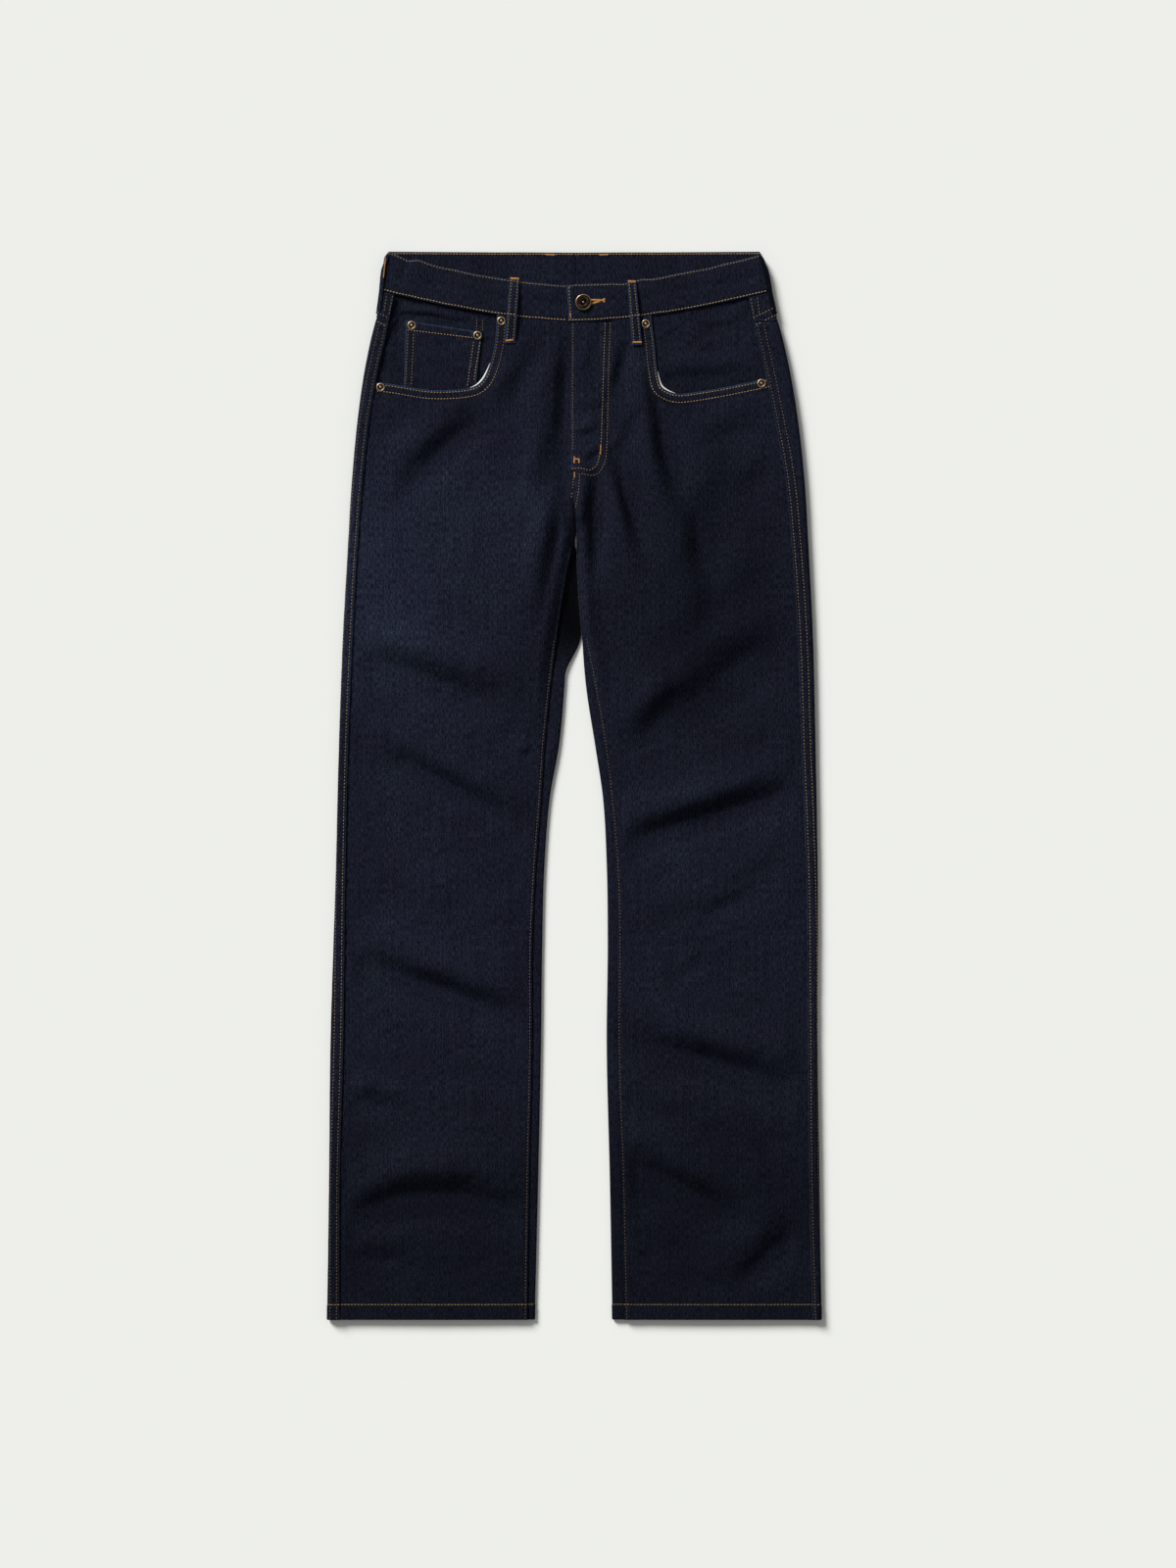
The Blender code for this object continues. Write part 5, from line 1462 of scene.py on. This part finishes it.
sew("thread_coin_pocket", TAN_THREAD,
    [((-170.5, 464.3), (-103.0, 456.0)), ((-169.3, 460.5), (-172.0, 406.5)),
     ((-163.6, 460.5), (-166.0, 406.5)), ((-95.8, 452.0), (-102.4, 411.0)),
     ((-102.4, 452.5), (-108.8, 407.5)), ((-99.0, 475.5), (-99.6, 463.5)),
     ((-93.2, 475.0), (-93.6, 463.5))],
    pitch=3.1, length=2.0, radius=0.38, seed=79, painted_light=(1.25, 0.26, 0.38, 0.9, 0.6, 0.2, 0.2))
sew("thread_yoke", TAN_THREAD,
    [((-201.5, 482.3), (-189.0, 475.7)), ((-203.5, 474.5), (-192.0, 467.5)),
     ((-191.1, 499.0), (-193.2, 483.5)), ((-184.6, 499.0), (-188.6, 479.0)),
     ((181.5, 475.7), (203.0, 486.0)), ((184.5, 468.7), (205.5, 479.0)),
     ((180.0, 496.0), (182.5, 479.0)), ((186.3, 497.0), (188.5, 481.0))],
    length=2.0, radius=0.38, seed=80, painted_light=(0.7, 0.7, 0.3, 0.3, 0.7, 0.7, 0.3, 0.3))


def loop_rows(side):
    """Two rows up a front loop, each a little in from its edge."""
    (top_in, top_out, top_y), (foot_in, foot_out, foot_y) = FRONT_LOOPS[side.name].values()
    rows = []
    for near in (LOOP_ROW / LOOP_WIDTH, 1.0 - LOOP_ROW / LOOP_WIDTH):
        top_u = top_in + near * (top_out - top_in)
        foot_u = foot_in + near * (foot_out - foot_in)
        rows.append(((side.sign * foot_u, foot_y + 3.5), (side.sign * top_u, top_y - 2.5)))
    return rows


sew("thread_loops", TAN_THREAD, loop_rows(RIGHT) + loop_rows(LEFT), pitch=3.1, length=2.0,
    radius=0.38, seed=81, painted_light=0.42)

BACK_POCKET_MIDDLE = (108.0, 370.0)
BACK_POCKET_REACH = 62.0            # about the distance from its middle to a side
SEAT_ROW = ((60.0, 447.5), (185.0, 472.0))


def seat_rows(side):
    """Straight rows down the sides and along the foot of the back pocket, drawn in towards its
    middle by row / reach, and one row beside the yoke seam. The underside's cloth covers them."""
    turn = np.array([side.sign, 1.0])
    corners = np.array([BACK_POCKET_TOP[0], *BACK_POCKET_FOOT, BACK_POCKET_TOP[1]]) * turn
    middle = np.array(BACK_POCKET_MIDDLE) * turn
    rows = []
    for row in BACK_POCKET_ROWS:
        line = middle + (corners - middle) * (1.0 - row / BACK_POCKET_REACH)
        rows.extend(zip(line, line[1:]))
    return rows + [np.array(SEAT_ROW) * turn]


for side in SIDES:
    sew("thread_seat_" + side.name, TAN_THREAD, seat_rows(side), below=True, seed=82)

# ---- Bar tacks -------------------------------------------------------------------------------
# Dense stitches of copper thread, laid across each tack. They hold the ends of the front loops,
# the right side loop, the fly and the band's end, and the two loops at the centre back.

TACK_PITCH = 0.5
sew("tacks_loops", COPPER_THREAD,
    [((-65.0, 516.0), (-56.6, 515.6)), ((-70.0, 452.6), (-62.2, 453.4)),
     ((54.9, 513.0), (62.2, 512.6)), ((59.6, 451.0), (68.6, 451.2))],
    pitch=TACK_PITCH, length=2.4, radius=0.34, across=True, seed=91)
sew("tacks_fly", COPPER_THREAD,
    [((27.2, 346.5), (26.6, 337.0)), ((0.2, 335.0), (0.0, 328.0)), ((0.2, 319.0), (0.2, 313.5)),
     ((0.3, 332.5), (4.8, 332.3)), ((4.9, 332.3), (4.9, 328.5)), ((-4.0, 481.0), (-3.6, 476.5))],
    pitch=TACK_PITCH, length=1.6, radius=0.28, across=True, seed=92)
sew("tack_side_loop", COPPER_THREAD, [((-192.0, 537.5), (-194.3, 516.5))],
    pitch=TACK_PITCH, length=1.3, radius=0.3, across=True, seed=94)
sew("tacks_band", COPPER_THREAD,
    [((-29.0, 541.2), (-19.5, 540.9)), ((25.5, 540.9), (34.5, 541.2))],
    pitch=TACK_PITCH, length=2.2, radius=0.3, across=True, seed=93)

# ---- Buttonhole ------------------------------------------------------------------------------
# A keyhole buttonhole in copper thread: purled edges that draw together to a bar tack, away from
# the button.

sew("buttonhole", COPPER_THREAD,
    [((14.0, 494.2), (20.0, 494.0), (30.3, 493.8)), ((14.0, 489.8), (22.0, 491.6), (27.0, 493.4)),
     ((30.4, 491.8), (30.6, 495.6))],
    pitch=TACK_PITCH, length=2.4, radius=0.42, across=True, seed=95)

# ---- Rivets and button -----------------------------------------------------------------------
# Antique brass rivets pin the corners of the pockets' mouths and of the coin pocket, and a shank
# button of the same metal closes the waistband. A real one turns on its shank; this one is fixed.


def antique_brass():
    """Brass with a dark patina in its hollows and rubbed bright on what stands proud, which the
    polish attribute gives, and small stains."""
    material, tree, surface = new_material("antique_brass", Metallic=1.0)
    place = node(tree, "TexCoord").outputs["Object"]
    stain = node(tree, "TexNoise", {"Vector": place, "Scale": 900.0, "Detail": 3.0}).outputs["Fac"]
    polish = node(tree, "Attribute", attribute_name="polish").outputs["Fac"]
    tone = node(tree, "Math", {0: stain, 1: 0.4, 2: polish}, operation="MULTIPLY_ADD").outputs[0]
    tint = colour_ramp(tree, tone, (0.25, (0.004, 0.003, 0.003)), (0.75, (0.055, 0.037, 0.021)),
                       (1.0, (0.36, 0.27, 0.17)))
    rough = node(tree, "MapRange", {"Value": stain, "To Min": 0.28, "To Max": 0.5})
    tree.links.new(rough.outputs["Result"], surface.inputs["Roughness"])
    show(tree, surface, tint, stain, 0.3, 0.0001)
    return material


BRASS_FINISH = antique_brass()
# Radius, height and polish, from the underside's middle out to the rim and in to the top's middle.
RIVET = ((0.0, 0.0, 0.2), (4.0, 0.0, 0.2), (4.4, 0.25, 0.6), (4.45, 0.55, 0.9), (4.2, 0.9, 1.0),
         (3.7, 1.1, 0.9), (3.1, 1.0, 0.7), (2.6, 0.75, 0.4), (2.25, 0.45, 0.1), (1.95, 0.35, 0.0),
         (1.65, 0.45, 0.0), (1.45, 0.9, 0.3), (1.2, 1.15, 0.8), (0.75, 1.25, 1.0), (0.0, 1.28, 1.0))
BUTTON = ((0.0, 0.0, 0.2), (3.2, 0.0, 0.2), (3.2, 1.2, 0.2), (7.2, 1.2, 0.3), (7.8, 1.45, 0.6),
          (8.1, 1.9, 0.8), (7.95, 2.45, 0.9), (7.5, 2.8, 0.8), (7.1, 2.8, 0.5), (6.8, 2.6, 0.2),
          (6.4, 2.62, 0.3), (5.8, 2.78, 0.45), (5.1, 2.82, 0.45), (4.4, 2.74, 0.35), (3.9, 2.6, 0.2),
          (3.5, 2.66, 0.6), (3.2, 2.5, 0.3), (2.9, 2.0, 0.0), (2.3, 1.6, 0.0), (1.5, 1.6, 0.0),
          (1.2, 1.9, 0.2), (0.95, 2.3, 0.9), (0.5, 2.45, 1.0), (0.0, 2.47, 1.0))
RIVETS = dict(
    rivet_coin_outer=(RIGHT, 165.6, 468.7),
    rivet_coin_inner=(RIGHT, 98.4, 458.4),
    rivet_inner_right=(RIGHT, 74.2, 473.0),
    rivet_outer_right=(RIGHT, 197.2, 405.5),
    rivet_inner_left=(LEFT, 72.9, 470.1),
    rivet_outer_left=(LEFT, 190.8, 409.5),
)
BUTTON_PLACE = (9.3, 491.8)
BEADS = 22


def turned(name, profile, x, y, z, steps, beads=0):
    """A round piece: a smooth curve through the profile's (radius, height) spun about the upright
    through (x, y, z). Beads are that many dark notches round its broad ring, from a cosine."""
    profile = np.array(profile)
    knots = dict(y=np.arange(len(profile), dtype=float), r=profile[:, 0], h=profile[:, 1],
                 p=profile[:, 2])
    place = np.linspace(0.0, len(profile) - 1.0, 3 * len(profile))[1:-1]
    radius, height, polish = (smooth(knots, key, place)[:, None] for key in "rhp")
    around = np.arange(steps) * math.tau / steps
    ring = np.exp(-((radius - 5.2) / 0.95) ** 4) * (height > 2.0) * bool(beads)
    bead = ring * ramp(1.2 * np.cos(beads * around + np.sin(5.0 * around)))
    top = height - 0.3 * bead
    verts = np.stack([x + radius * np.cos(around), y + radius * np.sin(around),
                      z + top + 0.0 * around], axis=-1).reshape(-1, 3)
    poles = [(x, y, z + profile[0, 1]), (x, y, z + profile[-1, 1])]
    index = np.arange(len(verts)).reshape(len(place), steps)
    after = np.roll(index, -1, axis=1)
    quads = np.stack([index[:-1], after[:-1], after[1:], index[1:]], axis=-1).reshape(-1, 4)
    first, last = len(verts), len(verts) + 1
    caps = [(first, b, a) for a, b in zip(index[0], after[0])]
    caps += [(last, a, b) for a, b in zip(index[-1], after[-1])]
    faces = quads.tolist() + [tuple(int(corner) for corner in cap) for cap in caps]
    piece = shaped(name, np.vstack([verts, poles]), faces)
    mark(piece, "polish", np.append((polish - 0.6 * bead).ravel(), (0.2, 1.0)))
    return piece


for name, (side, u, y) in RIVETS.items():
    x = side.sign * u
    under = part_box(name)[0][2] / MM
    piece = turned("brass_" + name, RIVET, x, y, under, 48)
    dress(piece, BRASS_FINISH, "antique_brass", name)

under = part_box("button")[0][2] / MM
piece = turned("brass_button", BUTTON, *BUTTON_PLACE, under, 120, BEADS)
dress(piece, BRASS_FINISH, "antique_brass", "button")

# ---- Floor, light and camera -----------------------------------------------------------------
# A plain pale floor, a soft key light low on the upper left and an even fill from all round. The
# camera looks straight down, with the hems at the foot of the picture.

FLOOR_HALF = 6.0
FLOOR_DROP = 0.0002     # below the rest plane, so that the two never touch
FLOOR_TINT = (0.800, 0.808, 0.772)
KEY_STRENGTH = 5.2
KEY_ELEVATION = math.radians(28.0)
KEY_FROM = math.radians(128.0)      # from +X round to +Y
KEY_SPREAD = math.radians(22.0)
FILL_STRENGTH = 0.29
PICTURE_HEIGHT = 1.6
PICTURE_MIDDLE = (0.014, 0.0015)
LENS = 85.0
SENSOR = 36.0

floor_mesh = bpy.data.meshes.new("studio_floor")
floor_corners = [(x * FLOOR_HALF, y * FLOOR_HALF, -FLOOR_DROP)
                 for x, y in ((-1, -1), (1, -1), (1, 1), (-1, 1))]
floor_mesh.from_pydata(floor_corners, [], [(0, 1, 2, 3)])
floor = bpy.data.objects.new("studio_floor", floor_mesh)
bpy.context.scene.collection.objects.link(floor)
floor_paper, _, paper = new_material("studio_paper", Roughness=0.95, Specular_IOR_Level=0.0)
paper.inputs["Base Color"].default_value = (*FLOOR_TINT, 1.0)
floor_mesh.materials.append(floor_paper)

key = bpy.data.lights.new("key_light", "SUN")
key.energy = KEY_STRENGTH
key.angle = KEY_SPREAD
key_light = bpy.data.objects.new("key_light", key)
toward = Vector((math.cos(KEY_ELEVATION) * math.cos(KEY_FROM),
                 math.cos(KEY_ELEVATION) * math.sin(KEY_FROM), math.sin(KEY_ELEVATION)))
key_light.rotation_euler = toward.to_track_quat("Z", "Y").to_euler()
bpy.context.scene.collection.objects.link(key_light)

world = bpy.data.worlds.new("fill_light")
world.use_nodes = True
world.node_tree.nodes["Background"].inputs["Color"].default_value = (1.0, 1.0, 1.0, 1.0)
world.node_tree.nodes["Background"].inputs["Strength"].default_value = FILL_STRENGTH
bpy.context.scene.world = world
bpy.context.scene.view_settings.view_transform = "Standard"

camera_data = bpy.data.cameras.new("camera")
camera_data.lens = LENS
camera_data.sensor_width = SENSOR
camera = bpy.data.objects.new("camera", camera_data)
camera.location = (*PICTURE_MIDDLE, PICTURE_HEIGHT * LENS / SENSOR)
bpy.context.scene.collection.objects.link(camera)
bpy.context.scene.camera = camera
